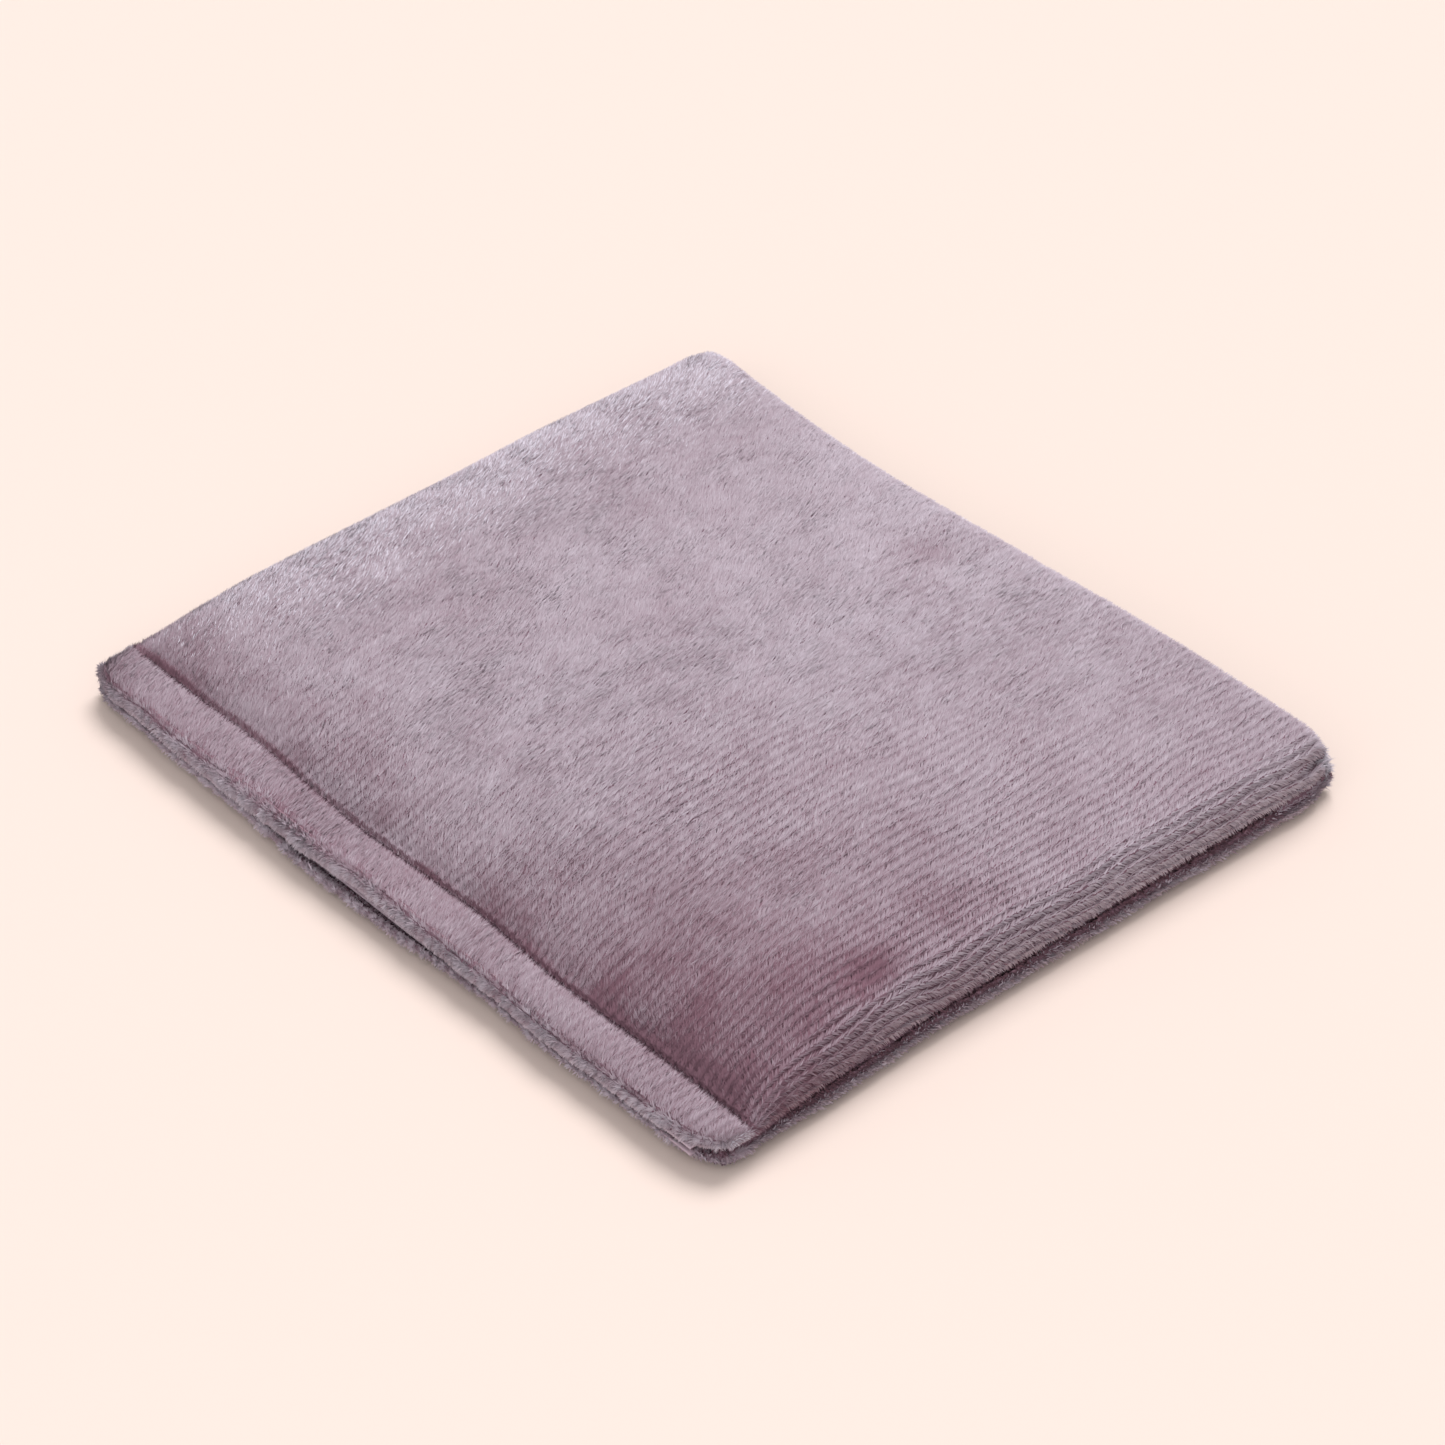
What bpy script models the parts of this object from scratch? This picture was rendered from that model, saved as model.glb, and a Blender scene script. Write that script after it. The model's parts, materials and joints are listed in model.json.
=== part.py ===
"""Eye pillow: a plush cover with a hemmed mouth, and a grain-filled cotton bag inside it.

Run with: blender --background --python part.py

Frame: metres, +Z up. The pillow lies on the plane z = 0. X runs along the mouth, the mouth
is on the -Y side, the back seam on the +Y side, and the side seams are on the two X sides.
Lengths below are in millimetres, and MM turns them into metres.
"""

import math

import bmesh
import bpy

MM = 0.001
GAP = 0.3  # clearance between pieces that touch

# Cover outline
HALF_WIDTH = 100.0  # from the middle to a side seam
BACK_Y = 89.25  # back seam
GROOVE_Y = -77.75  # inner stitch row of the hem, where the lips begin
LIP_DEPTH = 12.4  # from the groove to the fold of a lip
LIP_LEFT_X = -98.5
LIP_RIGHT_X = 101.0
LIP_TAPER = 6.0  # length over which the cover's width narrows to the lips'
LIP_END_ROUND = 3.0  # how far the fold draws back at the ends of a lip
LIP_END_SHARE = 0.035  # share of a lip's length over which it does
CORNER_PULL = 2.0  # how far a sewn corner draws in
CORNER_REACH = 9.0  # length of the sides over which it does
# How far each side bows outwards, at equal steps along it
LEFT_BOW = (1.1, 2.0, 2.1, 2.0, 1.1)  # from the mouth to the back
RIGHT_BOW = (2.3, -0.4, -0.7, -0.7, -0.2)  # from the mouth to the back
BACK_BOW = (0.6, -2.6, -1.0, 0.7, 1.2)  # from left to right
MOUTH_BOW = (-0.8, 0.8, 0.3, -0.2, -0.8)  # from left to right

# Cover heights
CLOTH = 1.4  # plush cloth, pressed
SEAM_Z = 4.5  # side and back seams
SEAM_GAP = 1.3  # room for the thread between the two panels
MOUTH_Z = 6.0  # middle of the top panel at the groove
SHOULDER = (14.0, 13.8, 14.8, 16.0, 16.2)  # height just inside the edges, from left to right
SHOULDER_REACH = (12.0, 12.0, 9.5, 7.5, 7.0)  # how far in it is reached, from left to right
MOUTH_REACH = 15.0  # the same, from the groove
PANEL_START = 1.3  # from the groove line to the top panel's front edge
PANEL_FRONT_SHARE = 0.06  # share of the top panel's depth that stays at the groove's height
PANEL_SIDE_SHARE = 0.04  # share of its width over which that height runs down to the side seams
CROWN = 2.6  # extra height in the middle
UNDER_REACH = 9.0  # how far in the underside meets the table
UNDER_FRONT_SHARE = 0.08  # share of the lower panel's depth that runs out flat into its lip

# Hem and closure
FOLD_RADIUS = 0.85
FOLD_STEPS = 4  # facets round half a fold
TAPE_FRONT_Y = GROOVE_Y - 10.9
TAPE_BACK_Y = GROOVE_Y - 2.4
TAPE_MARGIN = 5.0  # between a tape's end and a lip's end
HOOK_THICK = 0.8
LOOP_THICK = 1.0
TURN_IN_END = GROOVE_Y - 2.5  # where the cloth turned in at a lip ends
HINGE_Y = GROOVE_Y - 0.2
HINGE_Z = 7.2
# Heights through the hem, from the table up
HOOK_Z = 2 * CLOTH + (2 * FOLD_RADIUS - CLOTH) + GAP
LOOP_Z = HOOK_Z + HOOK_THICK + GAP
UPPER_TOP_Z = LOOP_Z + LOOP_THICK + GAP + 2 * CLOTH + (2 * FOLD_RADIUS - CLOTH)
# How far in from the lower lip's fold the rows of its lower and its turned-in layer lie
LOWER_LAYER = (9.0, 7.5, 5.0, 2.5, FOLD_RADIUS)
TURNED_LAYER = (FOLD_RADIUS, 4.0, 10.8)
UPPER_LIP_START_Y = -0.55  # the upper lip's back edge, from the groove
UPPER_LIP_START_DROP = 0.65  # below the hinge
UPPER_LIP_RISE_Y = -1.3
UPPER_LIP_RISE_DROP = 0.35  # below the lip's flat top
UPPER_LIP_FLAT_Y = -2.3
UPPER_LIP_MIDDLE_Y = -6.5

# Threads
THREAD = 0.5  # diameter
OUTER_ROW_Y = GROOVE_Y - 10.2
INNER_ROW_Y = GROOVE_Y - 2.3
ROW_ASIDE = 0.6  # from a tape's edge to the lower lip's rows
INNER_ROW_MARGIN = 2.0  # from a lip's end to the row's end
UPPER_OUTER_MARGIN = 4.0
LOWER_OUTER_MARGIN = 7.0
SEAM_INWARD = 0.9  # from the outline to the seams' thread
SEAM_START = 0.02  # share of a side left free of thread at each end
SIDE_SEAM_START = 0.1
TACK_LENGTH = 5.0
TACK_WIDTH = 1.4
TACK_HEIGHT = 0.6
TACK_BEVEL = 0.15
TACK_INSET = 1.0  # from the end of a lip, and behind the groove

# Inner bag
BAG_CLOTH = 0.5
BAG_INSET = 6.0  # from the cover's outline to the bag's
BAG_BASE_Z = 1.9  # underside of the bag
BAG_SEAM_Z = 6.2
BAG_SEAM_GAP = 1.1
BAG_CLEAR = 2.1  # from the cover's outer face to the bag's
BAG_MOUTH_SHARE = 1 / 12  # share of its depth over which its underside drops from the mouth
BAG_THREAD_INSET = 0.8  # from the bag's outline to its seam
FILL_CLEAR = 0.9  # from the bag's outer face to the grain
FILL_TOP_CLEAR = 1.3  # the same under the bag's top
FILL_INSET = 2.6

# Number of facets
TOP_STEPS = (26, 24)  # across and along
BASE_STEPS = (26, 20)
BAG_STEPS = (20, 18)
FILL_STEPS = (16, 14)
TAPE_STEPS = 12
ROW_STEPS = 16
SEAM_STEPS = 24
BAG_SEAM_STEPS = 12
SHARP_ANGLE = math.radians(50)


def through(values, t):
    """The smooth curve through equally spaced values, at t from 0 to 1."""
    last = len(values) - 1
    s = min(max(t, 0.0), 1.0) * last
    i = min(int(s), last - 1)
    f = s - i
    b = values[i]
    c = values[i + 1]
    a = values[i - 1] if i else 2 * b - c
    d = values[i + 2] if i + 2 <= last else 2 * c - b
    return b + 0.5 * f * (c - a + f * (2 * a - 5 * b + 4 * c - d + f * (3 * (b - c) + d - a)))


def rounded(t):
    """A quarter round: 0 at t = 0, 1 from t = 1 on, upright at the start."""
    t = min(max(t, 0.0), 1.0)
    return math.sqrt(1 - (1 - t) ** 2)


def eased(value, low, high):
    t = min(max((value - low) / (high - low), 0.0), 1.0)
    return t * t * (3 - 2 * t)


def spread(count):
    """count + 1 places from 0 to 1 that crowd towards both ends."""
    return [(1 - math.cos(math.pi * i / count)) / 2 for i in range(count + 1)]


def side_x(side, v):
    """A side seam's x at v, from 0 at the groove to 1 at the back."""
    if side < 0:
        return -HALF_WIDTH - through(LEFT_BOW, v)
    return HALF_WIDTH + through(RIGHT_BOW, v)


def back_y(u):
    return BACK_Y + through(BACK_BOW, u)


def fold_y(u):
    """The outermost y of a lip, at u from 0 to 1 along it."""
    end = 1 - rounded(min(u, 1 - u) / LIP_END_SHARE)
    return GROOVE_Y - LIP_DEPTH - through(MOUTH_BOW, u) + LIP_END_ROUND * end


def lip_x(u):
    return LIP_LEFT_X + (LIP_RIGHT_X - LIP_LEFT_X) * u


def fold_places():
    """Places round a lip's fold, as the distance in from it and the distance through it."""
    places = []
    for step in range(1, FOLD_STEPS + 1):
        angle = math.pi * step / FOLD_STEPS
        places.append((FOLD_RADIUS * (1 - math.sin(angle)), FOLD_RADIUS * (1 - math.cos(angle))))
    return places


def corner_pull(u, v):
    """How far a back corner draws the outline in, as a pair for x and y."""
    aside = 2 * HALF_WIDTH * min(u, 1 - u)
    behind = (BACK_Y - GROOVE_Y) * (1 - v)
    near = max(1 - aside / CORNER_REACH, 0.0) * max(1 - behind / CORNER_REACH, 0.0)
    pull = CORNER_PULL * near
    return (pull if u < 0.5 else -pull), -pull


def outline_point(u, v, inset=0.0):
    """A point of the plan, u along X and v from the groove to the back."""
    left = side_x(-1, v) + inset
    right = side_x(1, v) - inset
    front = GROOVE_Y + inset
    back = back_y(u) - inset
    pull = corner_pull(u, v)
    return left + (right - left) * u + pull[0], front + (back - front) * v + pull[1]


def crown_share(u, v):
    """0 at the seams, 1 where the shoulder height is reached."""
    reach = through(SHOULDER_REACH, u)
    width = 2 * HALF_WIDTH
    depth = BACK_Y - GROOVE_Y
    share = rounded(width * u / reach) * rounded(width * (1 - u) / reach)
    share *= rounded(depth * (1 - v) / reach)
    return share * rounded(depth * v / MOUTH_REACH)


def top_z(u, v, edge_z, lower):
    """Height of an upper surface that starts at edge_z and stays lower under the cover."""
    share = crown_share(u, v)
    dome = CROWN * math.sin(math.pi * u) * math.sin(math.pi * v)
    return edge_z + (through(SHOULDER, u) + dome - lower - edge_z) * share


def under_z(u, v, edge_z, base_z, inset=0.0):
    """Height of a lower surface that lies on base_z and lifts to edge_z at the seams."""
    width = 2 * (HALF_WIDTH - inset)
    depth = BACK_Y - GROOVE_Y - 2 * inset
    share = rounded(width * u / UNDER_REACH) * rounded(width * (1 - u) / UNDER_REACH)
    share *= rounded(depth * (1 - v) / UNDER_REACH)
    return edge_z + (base_z - edge_z) * share


def material(name, colour, roughness):
    made = bpy.data.materials.new(name)
    made.use_nodes = True
    shader = made.node_tree.nodes["Principled BSDF"]
    shader.inputs["Base Color"].default_value = (*colour, 1.0)
    shader.inputs["Roughness"].default_value = roughness
    shader.inputs["Metallic"].default_value = 0.0
    return made


def collection(name):
    made = bpy.data.collections.new(name)
    bpy.context.scene.collection.children.link(made)
    return made


def finish(mesh, name, look, group, smooth=True, pivot=None):
    """An object from a mesh in metres, with its origin at pivot when it has one."""
    mesh.materials.append(look)
    if pivot:
        mesh.transform(pivot.matrix_world.inverted())
    made = bpy.data.objects.new(name, mesh)
    group.objects.link(made)
    if pivot:
        made.parent = pivot
    if smooth:
        mesh.shade_smooth()
        mesh.set_sharp_from_angle(angle=SHARP_ANGLE)
    return made


def grid_mesh(name, rows):
    """An open surface through rows of points given in millimetres."""
    shape = bmesh.new()
    lines = [[shape.verts.new((x * MM, y * MM, z * MM)) for x, y, z in row] for row in rows]
    for row, after in zip(lines, lines[1:]):
        for i in range(len(row) - 1):
            shape.faces.new((row[i], after[i], after[i + 1], row[i + 1]))
    mesh = bpy.data.meshes.new(name)
    shape.to_mesh(mesh)
    shape.free()
    return mesh


def thicken(made, thickness, offset):
    """Makes an open surface a cloth of this thickness in millimetres."""
    solidify = made.modifiers.new("Cloth", "SOLIDIFY")
    solidify.thickness = thickness * MM
    solidify.offset = offset
    return made


def cloth(name, rows, thickness, look, group, pivot=None):
    """A cloth of even thickness about the surface through the rows."""
    return thicken(finish(grid_mesh(name, rows), name, look, group, pivot=pivot), thickness, 0.0)


def thread(name, points, look, group, pivot=None):
    """A round thread through points given in millimetres."""
    curve = bpy.data.curves.new(name, "CURVE")
    curve.dimensions = "3D"
    curve.bevel_depth = THREAD / 2 * MM
    curve.bevel_resolution = 1
    curve.use_fill_caps = True
    spline = curve.splines.new("POLY")
    spline.points.add(len(points) - 1)
    for point, (x, y, z) in zip(spline.points, points):
        point.co = (x * MM, y * MM, z * MM, 1.0)
    curve.materials.append(look)
    made = bpy.data.objects.new(name, curve)
    group.objects.link(made)
    if pivot:
        made.parent = pivot
        made.matrix_parent_inverse = pivot.matrix_world.inverted()
    return made


def block(name, centre, size, look, group):
    """A box, for the bar tacks."""
    shape = bmesh.new()
    bmesh.ops.create_cube(shape, size=MM)
    bmesh.ops.scale(shape, vec=size, verts=shape.verts)
    mesh = bpy.data.meshes.new(name)
    shape.to_mesh(mesh)
    shape.free()
    made = finish(mesh, name, look, group, smooth=False)
    made.location = [c * MM for c in centre]
    bevel = made.modifiers.new("Rounded", "BEVEL")
    bevel.width = TACK_BEVEL * MM
    bevel.segments = 1
    return made


def cover_top_panel(look, group):
    """The crowned upper panel, from the groove to the side and back seams."""
    seam = SEAM_Z + (SEAM_GAP + CLOTH) / 2
    rows = []
    for v in spread(TOP_STEPS[1]):
        row = []
        for u in spread(TOP_STEPS[0]):
            x, y = outline_point(u, v)
            front = 1 - eased(v, 0.0, PANEL_FRONT_SHARE)
            side = rounded(min(u, 1 - u) / PANEL_SIDE_SHARE)
            edge = seam + (MOUTH_Z - seam) * front * side
            row.append((x, y + PANEL_START * front, top_z(u, v, edge, CLOTH / 2)))
        rows.append(row)
    return cloth("cover_top_panel", rows, CLOTH, look, group)


def cover_bottom_panel(look, group):
    """The lower panel: flat on the table, turned in at the mouth as the lower lip."""
    low = CLOTH / 2
    high = low + 2 * FOLD_RADIUS
    seam = SEAM_Z - (SEAM_GAP + CLOTH) / 2
    stations = spread(BASE_STEPS[0])
    rows = []
    for v in reversed(spread(BASE_STEPS[1])):
        row = []
        for u in stations:
            x, y = outline_point(u, v)
            front = eased(v, 0.0, UNDER_FRONT_SHARE)
            row.append((x, y, low + (under_z(u, v, seam, low) - low) * front))
        rows.append(row)

    def lip_row(inward, z):
        row = []
        for u in stations:
            y = fold_y(u) + CLOTH / 2 + inward
            body_x = outline_point(u, 0.0)[0]
            blend = eased(y, GROOVE_Y - LIP_TAPER, GROOVE_Y)
            row.append((lip_x(u) + (body_x - lip_x(u)) * blend, y, z))
        return row

    for inward in LOWER_LAYER:
        rows.append(lip_row(inward, low))
    for inward, rise in fold_places()[:-1]:
        rows.append(lip_row(inward, low + rise))
    for inward in TURNED_LAYER:
        rows.append(lip_row(inward, high))
    for row in rows:
        row.reverse()
    return cloth("cover_bottom_panel", rows, CLOTH, look, group)


def upper_lip(look, group, pivot):
    """The folded edge of the top panel, which lifts about the groove."""
    outer = UPPER_TOP_Z - CLOTH / 2
    inner = outer - 2 * FOLD_RADIUS
    profile = (
        (UPPER_LIP_START_Y, HINGE_Z - UPPER_LIP_START_DROP),
        (UPPER_LIP_RISE_Y, outer - UPPER_LIP_RISE_DROP),
        (UPPER_LIP_FLAT_Y, outer),
        (UPPER_LIP_MIDDLE_Y, outer),
    )
    stations = spread(TOP_STEPS[0])
    rows = []
    for y, z in profile:
        rows.append([(lip_x(u), GROOVE_Y + y, z) for u in stations])
    for inward, drop in [(FOLD_RADIUS, 0.0), *fold_places()]:
        rows.append([(lip_x(u), fold_y(u) + CLOTH / 2 + inward, outer - drop) for u in stations])
    for y in (UPPER_LIP_MIDDLE_Y, TURN_IN_END - GROOVE_Y):
        rows.append([(lip_x(u), GROOVE_Y + y, inner) for u in stations])
    for row in rows:
        row.reverse()
    return cloth("upper_lip", rows, CLOTH, look, group, pivot)


def tape(name, low_z, thickness, look, group, pivot=None):
    """A flat tape along a lip."""
    middle = low_z + thickness / 2
    right = LIP_RIGHT_X - TAPE_MARGIN
    left = LIP_LEFT_X + TAPE_MARGIN
    places = [right + (left - right) * i / TAPE_STEPS for i in range(TAPE_STEPS + 1)]
    rows = [[(x, y, middle) for x in places] for y in (TAPE_FRONT_Y, TAPE_BACK_Y)]
    return cloth(name, rows, thickness, look, group, pivot)


def row_points(y, z, margin):
    left = LIP_LEFT_X + margin
    right = LIP_RIGHT_X - margin
    return [(left + (right - left) * i / ROW_STEPS, y, z) for i in range(ROW_STEPS + 1)]


def seam_threads(look, group):
    """The threads of the side and back seams, between the two panels."""
    def places(start):
        run = 1 - SEAM_START - start
        return [start + run * i / SEAM_STEPS for i in range(SEAM_STEPS + 1)]

    left = [outline_point(0.0, v) for v in places(SIDE_SEAM_START)]
    right = [outline_point(1.0, v) for v in places(SIDE_SEAM_START)]
    back = [outline_point(u, 1.0) for u in places(SEAM_START)]
    thread("left_side_seam_thread", [(x + SEAM_INWARD, y, SEAM_Z) for x, y in left], look, group)
    thread("right_side_seam_thread", [(x - SEAM_INWARD, y, SEAM_Z) for x, y in right], look, group)
    thread("back_seam_thread", [(x, y - SEAM_INWARD, SEAM_Z) for x, y in back], look, group)


def lip_threads(look, group, pivot):
    """Two rows on each lip, one along each edge of its tape."""
    above = UPPER_TOP_Z + THREAD / 2 + GAP
    inner = row_points(INNER_ROW_Y, above, INNER_ROW_MARGIN)
    outer = row_points(OUTER_ROW_Y, above, UPPER_OUTER_MARGIN)
    thread("upper_lip_inner_stitch", inner, look, group, pivot)
    thread("upper_lip_outer_stitch", outer, look, group, pivot)
    inside = HOOK_Z + THREAD / 2
    inner = row_points(TAPE_BACK_Y + ROW_ASIDE, inside, INNER_ROW_MARGIN)
    outer = row_points(TAPE_FRONT_Y - ROW_ASIDE, inside, LOWER_OUTER_MARGIN)
    thread("lower_lip_inner_stitch", inner, look, group)
    thread("lower_lip_outer_stitch", outer, look, group)


def inner_bag(look, thread_look, group):
    """The cotton bag: two panels, the seam round three sides and the hand-closed fourth."""
    seam_low = BAG_SEAM_Z - (BAG_SEAM_GAP + BAG_CLOTH) / 2
    seam_high = BAG_SEAM_Z + (BAG_SEAM_GAP + BAG_CLOTH) / 2
    base = BAG_BASE_Z + BAG_CLOTH / 2
    upper = []
    lower = []
    for v in spread(BAG_STEPS[1]):
        upper.append([])
        lower.append([])
        for u in spread(BAG_STEPS[0]):
            x, y = outline_point(u, v, BAG_INSET)
            mouth = rounded(v / BAG_MOUTH_SHARE)
            rise = under_z(u, v, seam_low, base, BAG_INSET)
            lower[-1].append((x, y, seam_low + (rise - seam_low) * mouth))
            upper[-1].append((x, y, top_z(u, v, seam_high, BAG_CLEAR + BAG_CLOTH / 2)))
    cloth("inner_bag_top", upper, BAG_CLOTH, look, group)
    cloth("inner_bag_bottom", [list(reversed(row)) for row in lower], BAG_CLOTH, look, group)
    inset = BAG_INSET + BAG_THREAD_INSET
    count = BAG_SEAM_STEPS
    around = [(0.0, v / count) for v in range(1, count + 1)]
    around += [(u / count, 1.0) for u in range(1, count)]
    around += [(1.0, v / count) for v in range(count, 0, -1)]
    seam = [(*outline_point(u, v, inset), BAG_SEAM_Z) for u, v in around]
    thread("inner_bag_seam_thread", seam, thread_look, group)
    run = 1 - 2 * SEAM_START
    mouth_line = [(SEAM_START + run * u / count, 0.0) for u in range(count + 1)]
    closing = [(*outline_point(u, v, inset), BAG_SEAM_Z) for u, v in mouth_line]
    thread("inner_bag_closing_stitch", closing, thread_look, group)


def grain_filling(look, group):
    """The loose grain as one closed lump that fills the bag."""
    inset = BAG_INSET + FILL_INSET
    base = BAG_BASE_Z + FILL_CLEAR
    shape = bmesh.new()
    upper = []
    lower = []
    for v in spread(FILL_STEPS[1]):
        upper.append([])
        lower.append([])
        for u in spread(FILL_STEPS[0]):
            x, y = outline_point(u, v, inset)
            high = top_z(u, v, BAG_SEAM_Z, BAG_CLEAR + FILL_TOP_CLEAR)
            drop = under_z(u, v, BAG_SEAM_Z, base, inset) - BAG_SEAM_Z
            low = BAG_SEAM_Z + drop * rounded(v / BAG_MOUTH_SHARE)
            top = shape.verts.new((x * MM, y * MM, high * MM))
            rim = v in (0.0, 1.0) or u in (0.0, 1.0)
            upper[-1].append(top)
            lower[-1].append(top if rim else shape.verts.new((x * MM, y * MM, low * MM)))
    for grid, turned in ((upper, False), (lower, True)):
        for row, after in zip(grid, grid[1:]):
            for i in range(len(row) - 1):
                corners = [row[i], row[i + 1], after[i + 1], after[i]]
                if turned:
                    corners.reverse()
                shape.faces.new(corners)
    mesh = bpy.data.meshes.new("grain_filling")
    shape.to_mesh(mesh)
    shape.free()
    return finish(mesh, "grain_filling", look, group)


def main():
    for old in list(bpy.data.objects):
        bpy.data.objects.remove(old)
    group = collection("eye_pillow")
    plush = material("plush", (0.42, 0.31, 0.37), 0.95)
    cotton = material("cotton", (0.80, 0.76, 0.68), 0.9)
    hooks = material("hook_tape", (0.33, 0.26, 0.30), 0.6)
    loops = material("loop_tape", (0.38, 0.29, 0.34), 0.85)
    sewing = material("sewing_thread", (0.30, 0.19, 0.24), 0.7)
    bag_thread = material("bag_thread", (0.85, 0.82, 0.75), 0.7)
    grain = material("grain", (0.32, 0.17, 0.07), 0.5)

    hinge = bpy.data.objects.new("lip_hinge", None)
    group.objects.link(hinge)
    hinge.location = (0.0, HINGE_Y * MM, HINGE_Z * MM)
    bpy.context.view_layer.update()

    cover_top_panel(plush, group)
    cover_bottom_panel(plush, group)
    upper_lip(plush, group, hinge)
    tape("hook_tape", HOOK_Z, HOOK_THICK, hooks, group)
    tape("loop_tape", LOOP_Z, LOOP_THICK, loops, group, hinge)
    seam_threads(sewing, group)
    lip_threads(sewing, group, hinge)
    inner_bag(cotton, bag_thread, group)
    grain_filling(grain, group)
    size = (TACK_WIDTH, TACK_LENGTH, TACK_HEIGHT)
    tack_y = GROOVE_Y + TACK_INSET
    block("left_bar_tack", (LIP_LEFT_X + TACK_INSET, tack_y, SEAM_Z), size, sewing, group)
    block("right_bar_tack", (LIP_RIGHT_X - TACK_INSET, tack_y, SEAM_Z), size, sewing, group)


main()
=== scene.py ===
import json
import math

import bpy
import numpy as np
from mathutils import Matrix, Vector


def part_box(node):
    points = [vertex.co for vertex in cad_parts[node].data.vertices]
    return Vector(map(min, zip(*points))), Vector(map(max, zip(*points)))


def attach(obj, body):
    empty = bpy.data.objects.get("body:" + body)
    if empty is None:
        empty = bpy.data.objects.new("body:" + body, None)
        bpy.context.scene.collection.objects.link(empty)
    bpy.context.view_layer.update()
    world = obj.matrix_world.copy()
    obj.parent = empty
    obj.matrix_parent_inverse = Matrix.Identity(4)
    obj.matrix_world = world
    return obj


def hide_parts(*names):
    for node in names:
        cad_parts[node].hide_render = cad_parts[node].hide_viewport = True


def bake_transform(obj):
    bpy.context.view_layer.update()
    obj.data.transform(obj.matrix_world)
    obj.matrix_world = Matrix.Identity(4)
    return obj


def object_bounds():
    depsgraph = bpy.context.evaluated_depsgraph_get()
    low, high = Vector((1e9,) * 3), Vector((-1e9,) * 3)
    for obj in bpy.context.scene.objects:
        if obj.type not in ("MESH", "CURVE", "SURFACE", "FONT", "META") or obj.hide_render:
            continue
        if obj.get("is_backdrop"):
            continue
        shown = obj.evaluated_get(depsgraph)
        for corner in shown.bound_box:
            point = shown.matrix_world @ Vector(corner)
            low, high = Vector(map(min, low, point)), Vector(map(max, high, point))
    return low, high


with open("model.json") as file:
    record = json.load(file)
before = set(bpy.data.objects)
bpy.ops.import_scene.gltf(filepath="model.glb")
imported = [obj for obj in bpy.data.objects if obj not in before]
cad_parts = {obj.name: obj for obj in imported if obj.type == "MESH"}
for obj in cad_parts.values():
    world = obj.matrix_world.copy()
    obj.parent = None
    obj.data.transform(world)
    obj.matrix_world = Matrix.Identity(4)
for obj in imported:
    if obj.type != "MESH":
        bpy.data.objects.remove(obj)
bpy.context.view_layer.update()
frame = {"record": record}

# Lengths below are in millimetres, and MM turns them into metres.
MM = 0.001
TAU = 2 * math.pi
QUARTER = math.pi / 2


# ---- sizes from the frame
def box_mm(node):
    """The node's lowest and highest corners."""
    low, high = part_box(node)
    return [v / MM for v in low], [v / MM for v in high]


HOOK_LOW, HOOK_HIGH = box_mm("hook_tape")
LOOP_LOW, LOOP_HIGH = box_mm("loop_tape")
HINGE = [v / MM for v in frame["record"]["behaviour"]["joints"][0]["pos_m"]]

GROOVE_Y = HINGE[1] + 0.2  # inner stitch row, where the lips begin
LIP_DEPTH = 12.4
HALF_WIDTH = 100.0
BACK_Y = 89.25
# How far each edge bows out at equal steps along it, from the mouth or from the left
LEFT_BOW = (1.1, 2.0, 2.1, 2.0, 1.1)
RIGHT_BOW = (2.3, -0.4, -0.7, -0.7, -0.2)
BACK_BOW = (0.6, -2.6, -1.0, 0.7, 1.2)
MOUTH_BOW = (-0.8, 0.8, 0.3, -0.2, -0.8)
SHOULDER = (14.0, 13.8, 14.8, 16.0, 16.2)  # height of the top inside its rolled edges, from the left
SHOULDER_REACH = (12.0, 12.0, 9.5, 7.5, 7.0)  # how far in from the edge it reaches that height
MOUTH_REACH = 17.0  # the same from the groove
CROWN = 2.6  # how much higher the middle is
GROOVE_LIFT = 1.6  # how far the groove's bottom lies over the side seams' outer line
BLUNT = 2.6  # how square the rear corners stay: 1 is a soft corner
PLEAT = 1.6  # depth of the tuck at the right rear corner
UNDER_REACH = 9.0  # how far in from its edge the lower panel lies flat
LIP_LEFT_X = -100.3
LIP_RIGHT_X = 102.2
LIP_END_ROUND = (4.4, 6.4)  # how far the hem's left and right ends draw back
LIP_END_REACH = (8.0, 12.0)
LIP_END_FALL = (3.4, 5.4)  # length over which the two ends come down to the seam
CORNER_PULL = 2.0  # how far a corner is rounded in
CORNER_REACH = 9.0

# The cloth as it turns into a seam
TUCK_ARC = 3.2  # length of cloth that turns under
TUCK_IN = 2.6  # how far in the seam lies
SEAM_Z = 4.5  # height of the seam
EDGE_TOP = 6.6  # height of the upper roll's outermost line
EDGE_UNDER = 2.7  # the same for the lower roll
TURN = 9.0  # radius over which a panel turns from upright to flat
MOUTH_TURN = 11.0

DIMPLES = ((199.0, 47.6), (103.6, 152.3))  # where the cloth is dented, across and from the groove
DENT = 1.1  # depth of a dent
ROLL_OUT = 1.3  # how far the lower roll stands out past the upper one on the right side

# Pile
PILE = 1.05  # height of the brushed pile over the knitted ground
ROW_PITCH = 2.4  # distance between rows of pile
RIB_DEPTH = 1.4  # the most a parting sinks between two rows
CREASE = 1.1  # depth of the partings beside the fold
FOLD_RISE = 2.4  # how far the fold comes up over the lip at the slit
MOST_TUFTS = 48000  # tufts in one piece
FRAYED_TUFTS = 260  # loose tufts at a rear corner

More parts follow.
